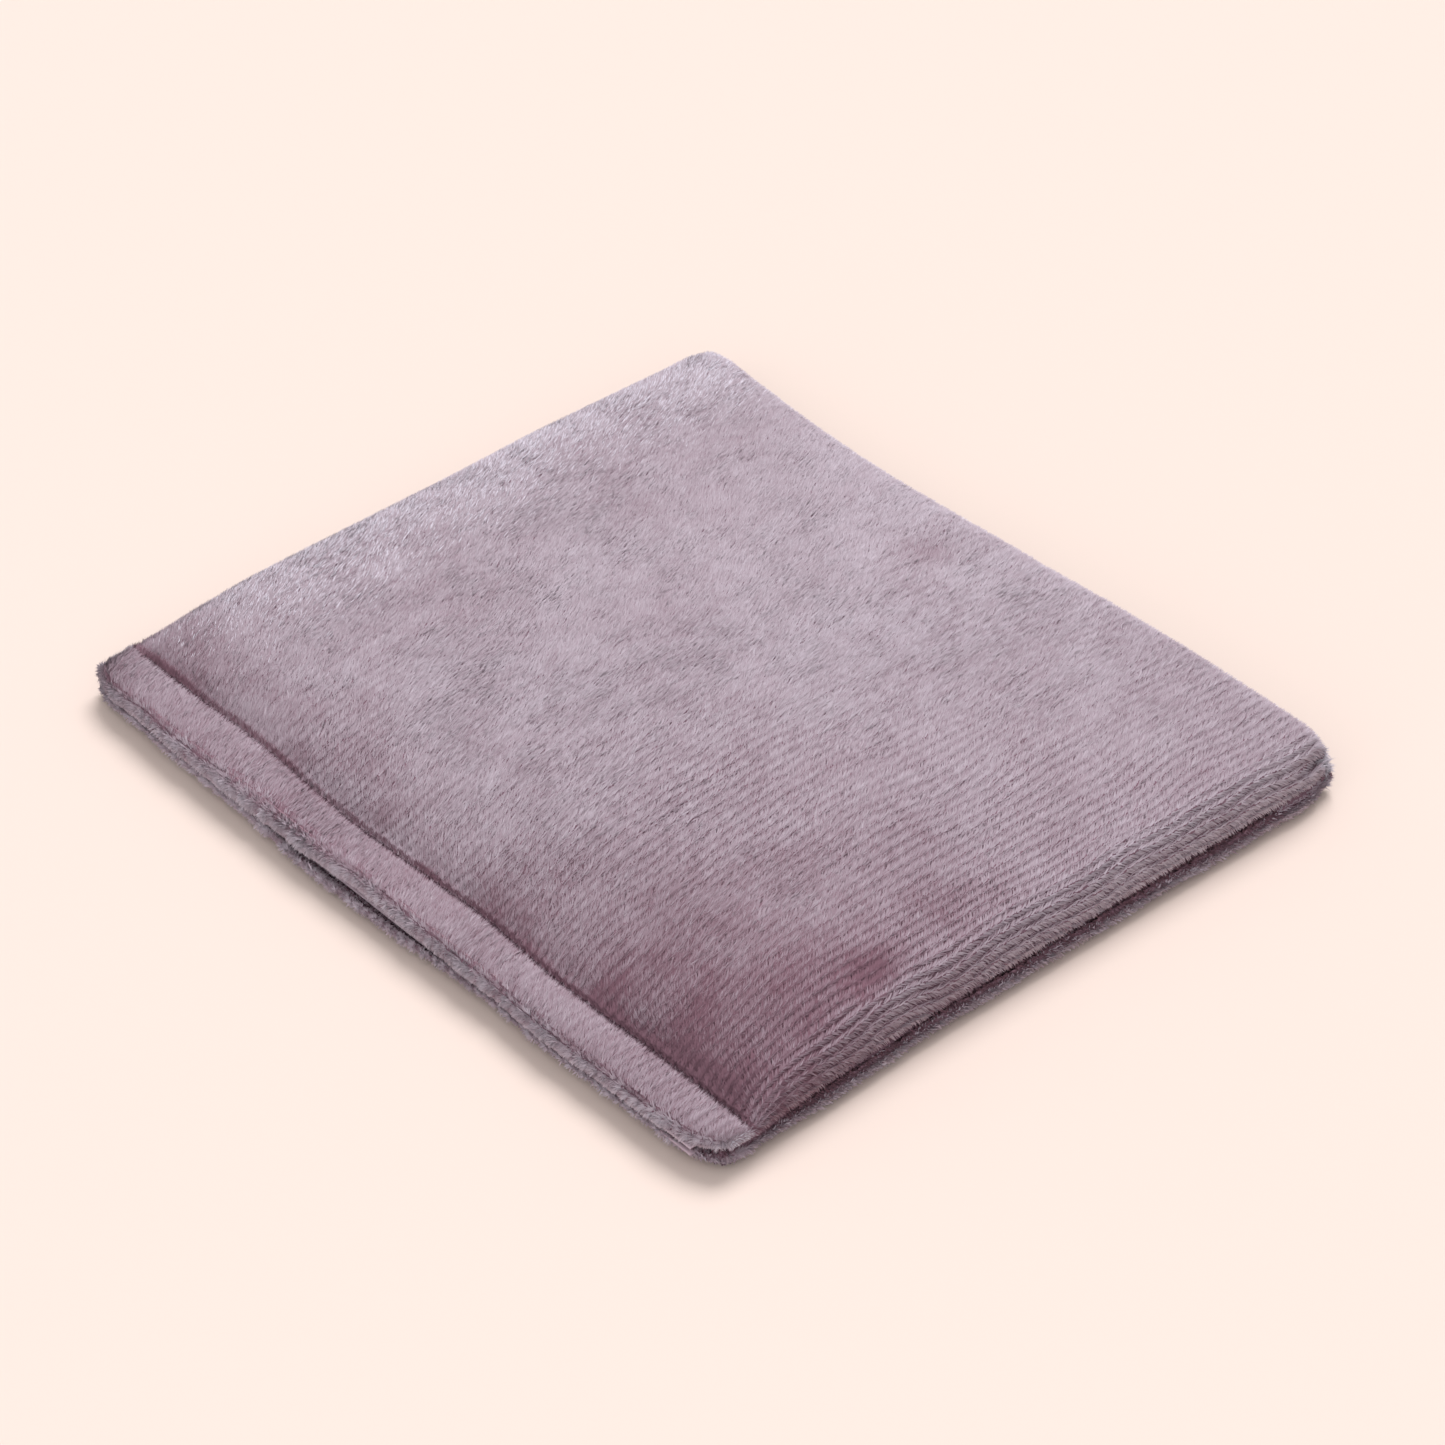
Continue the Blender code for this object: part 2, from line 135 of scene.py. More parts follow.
# Ground and stitches
KNIT = 0.5  # thickness of the knitted ground
SAMPLE = 0.5  # step of the sampled surfaces
CELL_ACROSS = 0.6  # size of the ground's facets
CELL_ALONG = 1.5
SEAM_IN = 0.6  # from the panels' edges to the seam's stitches
STITCH_IN = 6.0  # from the cloth's side to a hem row's first stitch
HEM_STITCH = 2.6  # length of a stitch
SEAM_STITCH = 3.0
BAG_STITCH = 2.2


# ---- small mathematics
def through(values, t):
    """The smooth curve through equally spaced values, at every t from 0 to 1."""
    k = np.asarray(values, float)
    last = len(k) - 1
    s = np.clip(t, 0, 1) * last
    i = np.clip(s.astype(int), 0, last - 1)
    f = s - i
    p = np.concatenate([[2 * k[0] - k[1]], k, [2 * k[-1] - k[-2]]])
    a, b, c, d = p[i], p[i + 1], p[i + 2], p[i + 3]
    return b + 0.5 * f * (c - a + f * (2 * a - 5 * b + 4 * c - d + f * (3 * (b - c) + d - a)))


def rounded(t):
    """A quarter round: 0 at 0, 1 from 1 on, upright at the start."""
    t = np.clip(t, 0, 1)
    return np.sqrt(np.clip(1 - (1 - t) ** 2, 0, 1))


def eased(value, low, high):
    """0 up to low, 1 from high on, and a smooth step between."""
    t = np.clip((value - low) / (high - low), 0, 1)
    return t * t * (3 - 2 * t)


def noise(x, y, size, seed):
    """Smooth noise from -1 to 1 with features of about this size."""
    table = np.random.RandomState(seed).uniform(-1, 1, (64, 64))
    px = np.asarray(x, float) / size + 1000
    py = np.asarray(y, float) / size + 1000
    ix = np.floor(px).astype(int)
    iy = np.floor(py).astype(int)
    fx = px - ix
    fy = py - iy
    fx = fx * fx * fx * (fx * (6 * fx - 15) + 10)
    fy = fy * fy * fy * (fy * (6 * fy - 15) + 10)
    a = table[ix % 64, iy % 64]
    b = table[(ix + 1) % 64, iy % 64]
    c = table[ix % 64, (iy + 1) % 64]
    d = table[(ix + 1) % 64, (iy + 1) % 64]
    return (a + (b - a) * fx) * (1 - fy) + (c + (d - c) * fx) * fy


def layered(x, y, size, seed):
    """Three layers of noise, each half as large as the one before."""
    return sum(noise(x, y, size / 2**k, seed + k) / 2**k for k in range(3)) / 1.5


# ---- the cover's shape
def walk_in(p):
    """For cloth at distance p from a seam: how far in from the outline it has come, how far it is
    still tucked in, and how much of the drop to the seam is left."""
    angle = np.clip(p / TUCK_ARC, 0, 1) * QUARTER
    q = np.clip(p - TUCK_ARC, 0, None)
    bent = TURN * (1 - np.cos(np.clip(q / TURN, 0, QUARTER)))
    turned = np.where(q < TURN * QUARTER, bent, TURN + q - TURN * QUARTER)
    return turned, TUCK_IN * (1 - np.sin(angle)), np.cos(angle)


DEPTH = BACK_Y - GROOVE_Y
# Cloth that a rolled edge with its tuck, and the turn at the mouth, take beyond their width
SIDE_EXTRA = TUCK_ARC + TURN * (QUARTER - 1)
MOUTH_EXTRA = MOUTH_TURN * (QUARTER - 1)
CLOTH_WIDTH = 2 * HALF_WIDTH + 2 * SIDE_EXTRA
TOP_LENGTH = DEPTH + MOUTH_EXTRA + SIDE_EXTRA


def across(a):
    """u, the tuck towards the middle and the drop, for cloth at a across the pillow."""
    from_left, tuck_left, drop_left = walk_in(a)
    from_right, tuck_right, drop_right = walk_in(CLOTH_WIDTH - a)
    left = a < CLOTH_WIDTH / 2
    u = np.where(left, from_left, 2 * HALF_WIDTH - from_right) / (2 * HALF_WIDTH)
    return u, np.where(left, tuck_left, -tuck_right), np.where(left, drop_left, drop_right)


def outline_point(u, v):
    """x and y of the pillow's plan, for u from left to right and v from the groove to the back."""
    left = -HALF_WIDTH - through(LEFT_BOW, v)
    right = HALF_WIDTH + through(RIGHT_BOW, v)
    back = BACK_Y + through(BACK_BOW, u)
    aside = 2 * HALF_WIDTH * np.minimum(u, 1 - u)
    near = np.clip(1 - aside / CORNER_REACH, 0, 1) * np.clip(1 - DEPTH * (1 - v) / CORNER_REACH, 0, 1)
    pull = CORNER_PULL * near
    x = left + (right - left) * u + np.where(u < 0.5, pull, -pull)
    wave = groove_wave(u) * np.clip(1 - 5 * v, 0, 1) ** 2
    return x, GROOVE_Y + (back - GROOVE_Y) * v - pull + wave


def dented(a, b):
    """1 in the middle of a dent in the top panel, falling to 0 around it."""
    return sum(
        np.exp(-(((a - at_a) / 5.5) ** 2) - ((b - at_b) / 7.0) ** 2) for at_a, at_b in DIMPLES
    )


def groove_wave(u):
    """How far the hem's groove wanders from its straight line."""
    along = 2 * HALF_WIDTH * np.asarray(u, float)
    flat = np.zeros_like(along)
    wave = 0.9 * noise(along, flat, 37, 35) + 0.4 * noise(along, flat, 13, 36)
    return wave * np.sin(math.pi * np.clip(u, 0, 1))


def lumps(x, y):
    """Low waves that the grain gives the cloth, and its dents."""
    waves = 0.45 * noise(x, y, 38, 11) + 0.25 * noise(x, y, 17, 12)
    return waves - DENT * dented(x + CLOTH_WIDTH / 2, y - GROOVE_Y + MOUTH_EXTRA)


def crown_z(u, v):
    """Height of the top panel's outer face, without its low waves."""
    reach = through(SHOULDER_REACH, u)
    side = rounded(2 * HALF_WIDTH * np.minimum(u, 1 - u) / reach)
    back = rounded(DEPTH * (1 - v) / reach)
    share = np.clip(1 - ((1 - side) ** BLUNT + (1 - back) ** BLUNT) ** (1 / BLUNT), 0, 1)
    rise = 0.6 * rounded(DEPTH * v / MOUTH_REACH)
    rise = rise + 0.4 * eased(DEPTH * v, 0.0, 2 * MOUTH_REACH)
    high = through(SHOULDER, u) + CROWN * np.sin(math.pi * u) * np.sin(math.pi * v)
    return EDGE_TOP + (high - EDGE_TOP) * share * rise


def top_point(a, b):
    """The outer face of the top panel; b is the cloth's distance from the groove."""
    u, tuck_x, drop_x = across(a)
    from_back, tuck_back, drop_back = walk_in(TOP_LENGTH - b)
    bent = MOUTH_TURN * (1 - np.cos(np.clip(b / MOUTH_TURN, 0, QUARTER)))
    from_mouth = np.where(b < MOUTH_TURN * QUARTER, bent, b - MOUTH_EXTRA)
    near = b < TOP_LENGTH / 2
    v = np.where(near, from_mouth, DEPTH - from_back) / DEPTH
    x, y = outline_point(u, v)
    drop = np.maximum(drop_x, np.where(near, 0.0, drop_back))
    width = 2 * HALF_WIDTH
    settled = np.clip((crown_z(u, v) - EDGE_TOP) / 6.0, 0, 1)
    to_back = TOP_LENGTH - b
    along_pleat = eased(-to_back, -24, -15) * (1 - eased(-to_back, -9, -6))
    aside_pleat = CLOTH_WIDTH - a - 5.2 - 0.1 * to_back
    pleat = PLEAT * along_pleat * np.exp(-((aside_pleat / 0.9) ** 2))
    z = crown_z(u, v) + lumps(x, y) * settled - drop * (EDGE_TOP - SEAM_Z)
    from_side = width * np.minimum(u, 1 - u)
    z = z + GROOVE_LIFT * (1 - eased(b, 0.0, 7.0)) * rounded(from_side / 3.6)
    return np.stack([x + tuck_x - pleat, y - np.where(near, 0.0, tuck_back), z - 0.6 * pleat], -1)


# Section through the upper lip, as distance out from the groove and height
LIP_SECTION = (
    (0.0, 8.2), (0.5, 8.45), (1.5, 8.95), (3.2, 9.3), (6.5, 9.4), (9.6, 9.1), (11.5, 8.2),
    (12.4, 6.7), (12.1, 5.0), (11.3, 4.3), (10.6, 4.8), (9.5, 5.75), (6.0, 5.8), (2.4, 5.8),
)
# The same through the lower lip
UNDER_SECTION = (
    (0.0, 0.0), (3.5, 0.0), (7.0, 0.3), (9.8, 1.0), (11.6, 1.9), (12.3, 2.9), (12.1, 3.9),
    (11.2, 4.3), (10.5, 3.6), (9.5, 3.15), (6.0, 3.1), (1.4, 3.1),
)


def section(points, count=400):
    """The smooth curve through a section's points, evenly spaced along its length."""
    t = np.linspace(0, 1, count * 4)
    w = through([p[0] for p in points], t)
    z = through([p[1] for p in points], t)
    length = np.concatenate([[0], np.cumsum(np.hypot(np.diff(w), np.diff(z)))])
    even = np.linspace(0, length[-1], count)
    return np.interp(even, length, w), np.interp(even, length, z), length[-1]


LIP_W, LIP_Z, LIP_ARC = section(LIP_SECTION)
UNDER_W, UNDER_Z, UNDER_ARC = section(UNDER_SECTION)
FOLD_S = LIP_ARC * (1 - np.argmax(LIP_W) / len(LIP_W))  # the upper cloth's fold
# How far each lip stands out and rises where the mouth gapes
UPPER_GAPE = (-0.4, 0.9)
LOWER_GAPE = (1.6, -0.2)


def lip_shape(a, c, widths, heights, arc, edge, gape):
    """The outer face of a lip at cloth distance c out from the groove."""
    u, tuck_x, drop_x = across(a)
    w = np.interp(c, np.linspace(0, arc, len(widths)), widths)
    z = np.interp(c, np.linspace(0, arc, len(heights)), heights)
    body_x = outline_point(u, np.zeros_like(u))[0]
    lip_x = LIP_LEFT_X + (LIP_RIGHT_X - LIP_LEFT_X) * u
    x = body_x + (lip_x - body_x) * eased(w, 0.0, 5.0)
    side = 2 * HALF_WIDTH * np.minimum(u, 1 - u)
    reach = np.where(u < 0.5, *LIP_END_REACH)
    drawn = np.where(u < 0.5, *LIP_END_ROUND) * (1 - rounded(side / reach))
    bow = through(MOUTH_BOW, u) - drawn
    flat = np.zeros_like(a)
    slack = 0.35 * noise(a, flat, 23, 31) + 0.2 * noise(a, flat, 9, 32)
    open_share = np.exp(-(((x + 8.0) / 26.0) ** 2))
    out = w * (1 + (bow + slack) / LIP_DEPTH) + gape[0] * open_share * eased(w, 6.0, 12.0)
    lift = (gape[1] * open_share + 0.25 * noise(a, flat, 14, 33)) * eased(w, 5.0, 12.0)
    fold = arc * np.argmax(widths) / len(widths)
    inner = eased(c, fold, fold + 2.5)
    full = np.maximum(rounded(side / np.where(u < 0.5, *LIP_END_FALL)), inner)
    z = edge + (z + lift - edge) * full + drop_x * (SEAM_Z - edge) * (1 - inner)
    x = x + tuck_x * (1 - inner) + 3.0 * inner * (1 - 2 * u)
    out = out - groove_wave(u) * (1 - eased(w, 0.0, 7.0)) * (1 - inner)
    return np.stack([x, GROOVE_Y - out, z], -1)


def upper_cloth(a, s):
    """Top panel and upper lip as one cloth: s runs from the turned-in end over the fold and the
    groove to the back seam."""
    out = np.clip(LIP_ARC - s, 0, None)
    lip = lip_shape(a, out, LIP_W, LIP_Z, LIP_ARC, EDGE_TOP, UPPER_GAPE)
    body = top_point(a, np.clip(s - LIP_ARC, 0, None))
    return np.where((s < LIP_ARC)[..., None], lip, body)


def base_point(a, b):
    """The outer face of the lower panel; b is the cloth's distance from the back seam."""
    u, tuck_x, drop_x = across(a)
    from_back, tuck_back, drop_back = walk_in(b)
    v = 1 - from_back / DEPTH
    x, y = outline_point(u, v)
    width = 2 * HALF_WIDTH
    share = rounded(width * u / UNDER_REACH) * rounded(width * (1 - u) / UNDER_REACH)
    share = share * rounded(DEPTH * (1 - v) / UNDER_REACH)
    drop = np.maximum(drop_x, drop_back)
    z = EDGE_UNDER * (1 - share) + drop * (SEAM_Z - EDGE_UNDER)
    stand_out = ROLL_OUT * eased(u, 0.93, 1.0) * (1 - drop_x)
    stand_out = stand_out * eased(v, 0.0, 0.15) * eased(1 - v, 0.0, 0.1)
    return np.stack([x + tuck_x + stand_out, y - tuck_back, z], -1)


BASE_LENGTH = DEPTH + SIDE_EXTRA


def lower_cloth(a, s):
    """Lower panel and lower lip as one cloth: s runs from the back seam to the turned-in end."""
    body = base_point(a, np.clip(s, 0, BASE_LENGTH))
    out = np.clip(s - BASE_LENGTH, 0, None)
    lip = lip_shape(a, out, UNDER_W, UNDER_Z, UNDER_ARC, EDGE_UNDER, LOWER_GAPE)
    return np.where((s > BASE_LENGTH)[..., None], lip, body)


def unit(v):
    """The directions of vectors, as vectors of length 1."""
    return v / np.maximum(np.linalg.norm(v, axis=-1, keepdims=True), 1e-9)


class Cloth:
    """A cloth's outer face, sampled on an even grid of its own two directions."""

    def __init__(self, surface, width, length, fold, seam_at_end):
        self.fold = fold
        self.seam_at_end = seam_at_end
        self.width = width
        self.length = length
        self.columns = int(width / SAMPLE) + 1
        self.rows = int(length / SAMPLE) + 1
        a, s = np.meshgrid(
            np.linspace(0, width, self.columns), np.linspace(0, length, self.rows), indexing="xy"
        )
        point = surface(a, s)
        side = np.gradient(point, axis=1)
        normal = unit(np.cross(side, np.gradient(point, axis=0)))
        for _ in range(3):
            wide = np.pad(normal, ((1, 1), (1, 1), (0, 0)), "edge")
            beside = wide[1:-1, :-2] + wide[1:-1, 2:] + wide[1:-1, 1:-1]
            normal = unit(wide[:-2, 1:-1] + wide[2:, 1:-1] + beside)
        self.sampled = np.concatenate([point, normal, unit(side)], -1)

    def from_back(self, s):
        """Distance along the cloth from the back seam."""
        return self.length - s if self.seam_at_end else s

    def seam(self, a, s):
        """1 at the seams, falling to 0 where the cloth has come out of its tuck."""
        near = np.minimum(np.minimum(a, self.width - a), self.from_back(s))
        return np.cos(np.clip(near / TUCK_ARC, 0, 1) * QUARTER)

    def past_fold(self, s):
        """Distance from the lip's fold, positive on the turned-in side."""
        return self.fold - s if self.seam_at_end else s - self.fold

    def past_crease(self, a, s):
        """The same from where the pile turns over, which comes up over the lip at the slit."""
        rise = FOLD_RISE * np.exp(-(((a - 78.0) / 30.0) ** 2)) if self.seam_at_end else 0.0
        return self.past_fold(s) + rise

    def pressed(self, a, s):
        """How far the pile is pressed down, at the seams and in the turned-in layer."""
        turned_in = eased(self.past_fold(s), -0.3, 2.2)
        return np.maximum(0.85 * self.seam(a, s) ** 2, 0.7 * turned_in)

    def crease(self, a, s):
        """Depth of the two partings where the pile turns over the fold."""
        flat = np.zeros_like(a)
        p = self.past_crease(a, s) + 0.45 * noise(a, flat, 15, 41) + 0.2 * noise(a, flat, 5, 42)
        first = np.clip(0.75 + 0.6 * noise(a, flat, 19, 43), 0, 1)
        second = np.clip(0.55 + 0.8 * noise(a, flat, 13, 44), 0, 1)
        first = first * np.exp(-(((p + 3.1) / 0.28) ** 2))
        second = second * np.exp(-(((p + 1.7) / 0.28) ** 2))
        return CREASE * np.maximum(first, second)

    def nap(self, a, s):
        """Which way the pile leans along the cloth: away from the fold on both of its sides."""
        return np.clip(-self.past_crease(a, s) / 2.5, -1, 1) * (1 if self.seam_at_end else -1)

    def corner(self, a, s):
        """True in the tucked corners, where the two seams meet."""
        return (np.minimum(a, self.width - a) < TUCK_ARC) & (self.from_back(s) < TUCK_ARC)

    def cornered(self, a, s):
        """1 at the rear corners and the lip's ends, falling to 0 beside them."""
        from_back = self.from_back(s)
        aside = np.minimum(a, self.width - a)
        rear = (1 - eased(aside, 6.0, 14.0)) * (1 - eased(from_back, 6.0, 14.0))
        from_mouth = self.length - from_back
        on_lip = 1 - eased(from_mouth, LIP_ARC - 4.0, LIP_ARC + 2.0)
        return np.maximum(rear, 0.6 * (1 - eased(aside, 2.5, 6.0)) * on_lip)

    def folded(self, a, s):
        """1 on the lip's fold, falling to 0 beside it."""
        before = 1 - eased(-0.5 - self.past_crease(a, s), 2.0, 3.0)
        return before * (1 - eased(self.past_fold(s) + 0.5, 2.0, 3.6))

    def fluffy(self, a, s):
        """1 on the rolled edges, where the pile stands off."""
        near = np.minimum(np.minimum(a, self.width - a), self.from_back(s))
        return np.maximum(1 - eased(near, 1.6, 3.4), self.folded(a, s))

    def at(self, a, s):
        """The outer face's point, its outward direction and the direction across."""
        last_i = self.columns - 1
        last_j = self.rows - 1
        i = np.clip(np.asarray(a, float) / self.width * last_i, 0, last_i - 0.001)
        j = np.clip(np.asarray(s, float) / self.length * last_j, 0, last_j - 0.001)
        low_i = i.astype(int)
        low_j = j.astype(int)
        fi = (i - low_i)[..., None]
        fj = (j - low_j)[..., None]
        g = self.sampled
        near = g[low_j, low_i] * (1 - fi) + g[low_j, low_i + 1] * fi
        far = g[low_j + 1, low_i] * (1 - fi) + g[low_j + 1, low_i + 1] * fi
        found = near * (1 - fj) + far * fj
        return found[..., :3], unit(found[..., 3:6]), unit(found[..., 6:])


# ---- meshes
def make_mesh(name, points, faces, look, smooth=True):
    """An object from points in millimetres and faces with one number of corners."""
    points = np.asarray(points, float).reshape(-1, 3) * MM
    faces = np.asarray(faces, np.int32)
    count, corners = faces.shape
    mesh = bpy.data.meshes.new(name)
    mesh.vertices.add(len(points))
    mesh.vertices.foreach_set("co", points.ravel())
    mesh.loops.add(count * corners)
    mesh.loops.foreach_set("vertex_index", faces.ravel())
    mesh.polygons.add(count)
    mesh.polygons.foreach_set("loop_start", np.arange(count, dtype=np.int32) * corners)
    mesh.polygons.foreach_set("loop_total", np.full(count, corners, np.int32))
    mesh.update(calc_edges=True)
    mesh.validate()
    if smooth:
        mesh.shade_smooth()
    mesh.materials.append(look)
    made = bpy.data.objects.new(name, mesh)
    bpy.context.scene.collection.objects.link(made)
    return made


def grid_faces(rows, columns):
    """The faces of a grid of points, row by row."""
    i, j = np.meshgrid(np.arange(rows - 1), np.arange(columns - 1), indexing="ij")
    k = (i * columns + j).ravel()
    return np.stack([k, k + columns, k + columns + 1, k + 1], -1)


def slab(front, back):
    """Points and faces of a closed sheet between two grids of points."""
    rows, columns = front.shape[:2]
    count = rows * columns
    index = np.arange(count).reshape(rows, columns)
    rim = np.concatenate([index[0, :], index[1:, -1], index[-1, -2::-1], index[-2:0:-1, 0]])
    after = np.roll(rim, -1)
    side = np.stack([rim, rim + count, after + count, after], -1)
    faces = grid_faces(rows, columns)
    points = np.concatenate([front.reshape(-1, 3), back.reshape(-1, 3)])
    return points, np.concatenate([faces[:, ::-1], faces + count, side])


# ---- pile
def openness(a, s):
    """How far the rows of pile stand apart: 0 where it is brushed smooth, 1 where they part."""
    u = a / CLOTH_WIDTH
    v = s / (LIP_ARC + TOP_LENGTH)
    base = 0.02 + 0.52 * eased(u, 0.4, 0.92) * (1 - 0.35 * eased(v, 0.4, 0.9))
    base = base + 0.2 * eased(1 - v, 0.3, 0.9)
    brushed = 0.7 * eased(v, 0.55, 0.95) * (1 - eased(u, 0.93, 0.96))
    base = base + 0.5 * eased(u, 0.84, 0.94) * (1 - brushed)
    broken = 0.22 * noise(a / 2.4, s / 7.0, 1.0, 57) * (1 - 0.7 * eased(u, 0.86, 0.94))
    lip = 1 - eased(s, LIP_ARC - 1.0, LIP_ARC + 2.0)
    parted = np.clip(base + 0.36 * layered(a, s, 34, 51) + broken, 0, 1.15)
    return parted * (1 - 0.6 * lip)


def row_place(a, s):
    """Signed distance from the nearest parting between two rows, in rows, from -0.5 to 0.5."""
    wander = 0.5 * noise(a, s, 21, 61) + 0.08 * noise(a, s, 8, 62)
    wander = wander + 0.4 * noise(a, s, 15, 63) * eased(a, CLOTH_WIDTH - 40, CLOTH_WIDTH - 15)
    phase = a / ROW_PITCH + wander
    return phase - np.round(phase)


def parting(a, s):
    """How deep the valley between two rows of pile is: 0 on a row's crest, RIB_DEPTH at most."""
    side = eased(a, CLOTH_WIDTH - 17, CLOTH_WIDTH - 12)
    valley = (1 - 2 * np.abs(row_place(a, s))) ** (2.2 - 0.7 * side)
    return RIB_DEPTH * openness(a, s) * (1 + 0.4 * side) * valley


def ground(name, cloth, look):
    """A cloth's knitted ground, under its pile, with the partings pressed in and a smooth back."""
    columns = int(cloth.width / CELL_ACROSS) + 1
    rows = int(cloth.length / CELL_ALONG) + 1
    a, s = np.meshgrid(
        np.linspace(0, cloth.width, columns), np.linspace(0, cloth.length, rows), indexing="xy"
    )
    point, n, _ = cloth.at(a, s)
    sunk = PILE + 0.8 * parting(a, s) + 0.4 * cloth.crease(a, s)
    sunk = (sunk * (1 - cloth.pressed(a, s)))[..., None]
    outer = point - n * sunk
    inner = point - n * (sunk + KNIT)
    return make_mesh(name, *slab(outer, inner), look)


def tuft_shape(root, tip, n, direction, wide, spin):
    """Each tuft's three root corners and its tip, and the cloth's direction bent across it."""
    bent = unit(n - direction * (n * direction).sum(1)[:, None])
    t2 = np.cross(direction, bent)
    corners = []
    for turn, reach in ((math.pi, 1.0), (0.0, 1.0), (1.5 * math.pi, 0.6)):
        offset = t2 * np.cos(spin + turn)[:, None] + bent * np.sin(spin + turn)[:, None]
        corners.append(root + offset * (wide * reach)[:, None])
    return np.stack([*corners, tip], 1), bent


def tuft_mesh(name, points, normals, look):
    """Closed tufts of four faces each, from their four points, shaded by the cloth's direction."""
    first = np.arange(len(points))[:, None] * 4
    sides = ([0, 1, 3], [1, 2, 3], [2, 0, 3], [0, 2, 1])
    faces = np.concatenate([first + side for side in sides])
    made = make_mesh(name, points.reshape(-1, 3), faces, look)
    made.data.normals_split_custom_set_from_vertices(np.repeat(normals, 4, axis=0))
    return made


def frayed(name, centre, facing, low, high, spread, look, seed):
    """Loose tufts standing out of a corner of the cover."""
    rng = np.random.RandomState(seed)
    count = FRAYED_TUFTS
    angle = math.atan2(facing[1], facing[0]) + rng.uniform(-spread, spread, count)
    n = np.stack([np.cos(angle), np.sin(angle), rng.uniform(-0.2, 0.5, count)], -1)
    root = np.array([centre[0], centre[1], 0.0]) - n * [1.2, 1.2, 0.0]
    root[:, 2] = rng.uniform(low, high, count)
    root[:, :2] = root[:, :2] + rng.normal(0, 0.5, (count, 2))
    direction = unit(n + rng.normal(0, 0.16, (count, 3)))
    tip = root + direction * rng.uniform(1.8, 2.9, count)[:, None]
    upright = np.tile([0.0, 0.0, 1.0], (count, 1))
    wide = rng.uniform(0.18, 0.28, count)
    points = tuft_shape(root, tip, upright, direction, wide, rng.normal(0, 0.5, count))[0]
    return tuft_mesh(name, points, unit(n + [0, 0, 0.8]), look)


def tuft_places(cloth, keep, spacing, rng):
    """Where tufts stand on a cloth: places of an uneven grid, where keep allows them."""
    columns = int(cloth.width / spacing)
    rows = int(cloth.length / spacing)
    a, s = np.meshgrid(np.arange(columns) + 0.5, np.arange(rows) + 0.5, indexing="xy")
    a = (a + rng.uniform(-0.5, 0.5, a.shape)).ravel() * spacing
    s = (s + rng.uniform(-0.5, 0.5, s.shape)).ravel() * spacing
    crowd = np.maximum(0.75 + 0.25 * openness(a, s), cloth.fluffy(a, s))
    chosen = keep(a, s, rng) & (cloth.seam(a, s) < 0.9) & ~cloth.corner(a, s)
    chosen = chosen & (rng.uniform(0, 1, len(a)) < crowd)
    return a[chosen], s[chosen]


def leaning(cloth, a, s, upright, along, side, rng):
    """Which way each tuft points: along the nap with slow swirls, more upright in open rows."""
    count = len(a)
    fluffy = cloth.fluffy(a, s)
    calm = 1 - 0.7 * np.clip(openness(a, s), 0, 1)
    swirl = 0.42 * layered(a, s, 26, 71) + 0.3 * noise(a, s, 5, 74)
    swirl = (swirl + rng.normal(0, 0.25, count)) * calm
    lean = np.clip(1.05 + 0.2 * noise(a, s, 12, 75) + rng.normal(0, 0.15, count), 0.3, 1.4)
    lean = lean * calm * (1 - 0.5 * fluffy)
    forward = along * (cloth.nap(a, s) * np.cos(swirl))[:, None] + side * np.sin(swirl)[:, None]
    stray = rng.normal(0, 0.09, (count, 3)) * (1 + 0.6 * fluffy)[:, None]
    return unit(upright * 0.8 + forward * lean[:, None] + stray)


def clumped(cloth, a, s):
    """How the pile stands in small clumps, from -1 to 1, weaker in open rows."""
    folded = cloth.folded(a, s)
    in_rows = eased(a, 0.72 * CLOTH_WIDTH, 0.9 * CLOTH_WIDTH) * (1 - cloth.fluffy(a, s))
    clump = noise(a / 0.75, s / 1.5, 1.0, 91) * (1 - 0.6 * in_rows)
    return clump * (1 - folded) + noise(a / 1.2, s / 2.4, 1.0, 92) * folded


def skyward(cloth, a, s, rim):
    """How far the shading turns to the sky: at the rim, on the fold's face and at the corners."""
    face = cloth.folded(a, s) * eased(cloth.past_crease(a, s), -2.4, -1.2)
    sky = np.maximum(np.maximum(face, rim), 0.6 * cloth.fluffy(a, s))
    return np.maximum(sky, 2.4 * cloth.cornered(a, s))


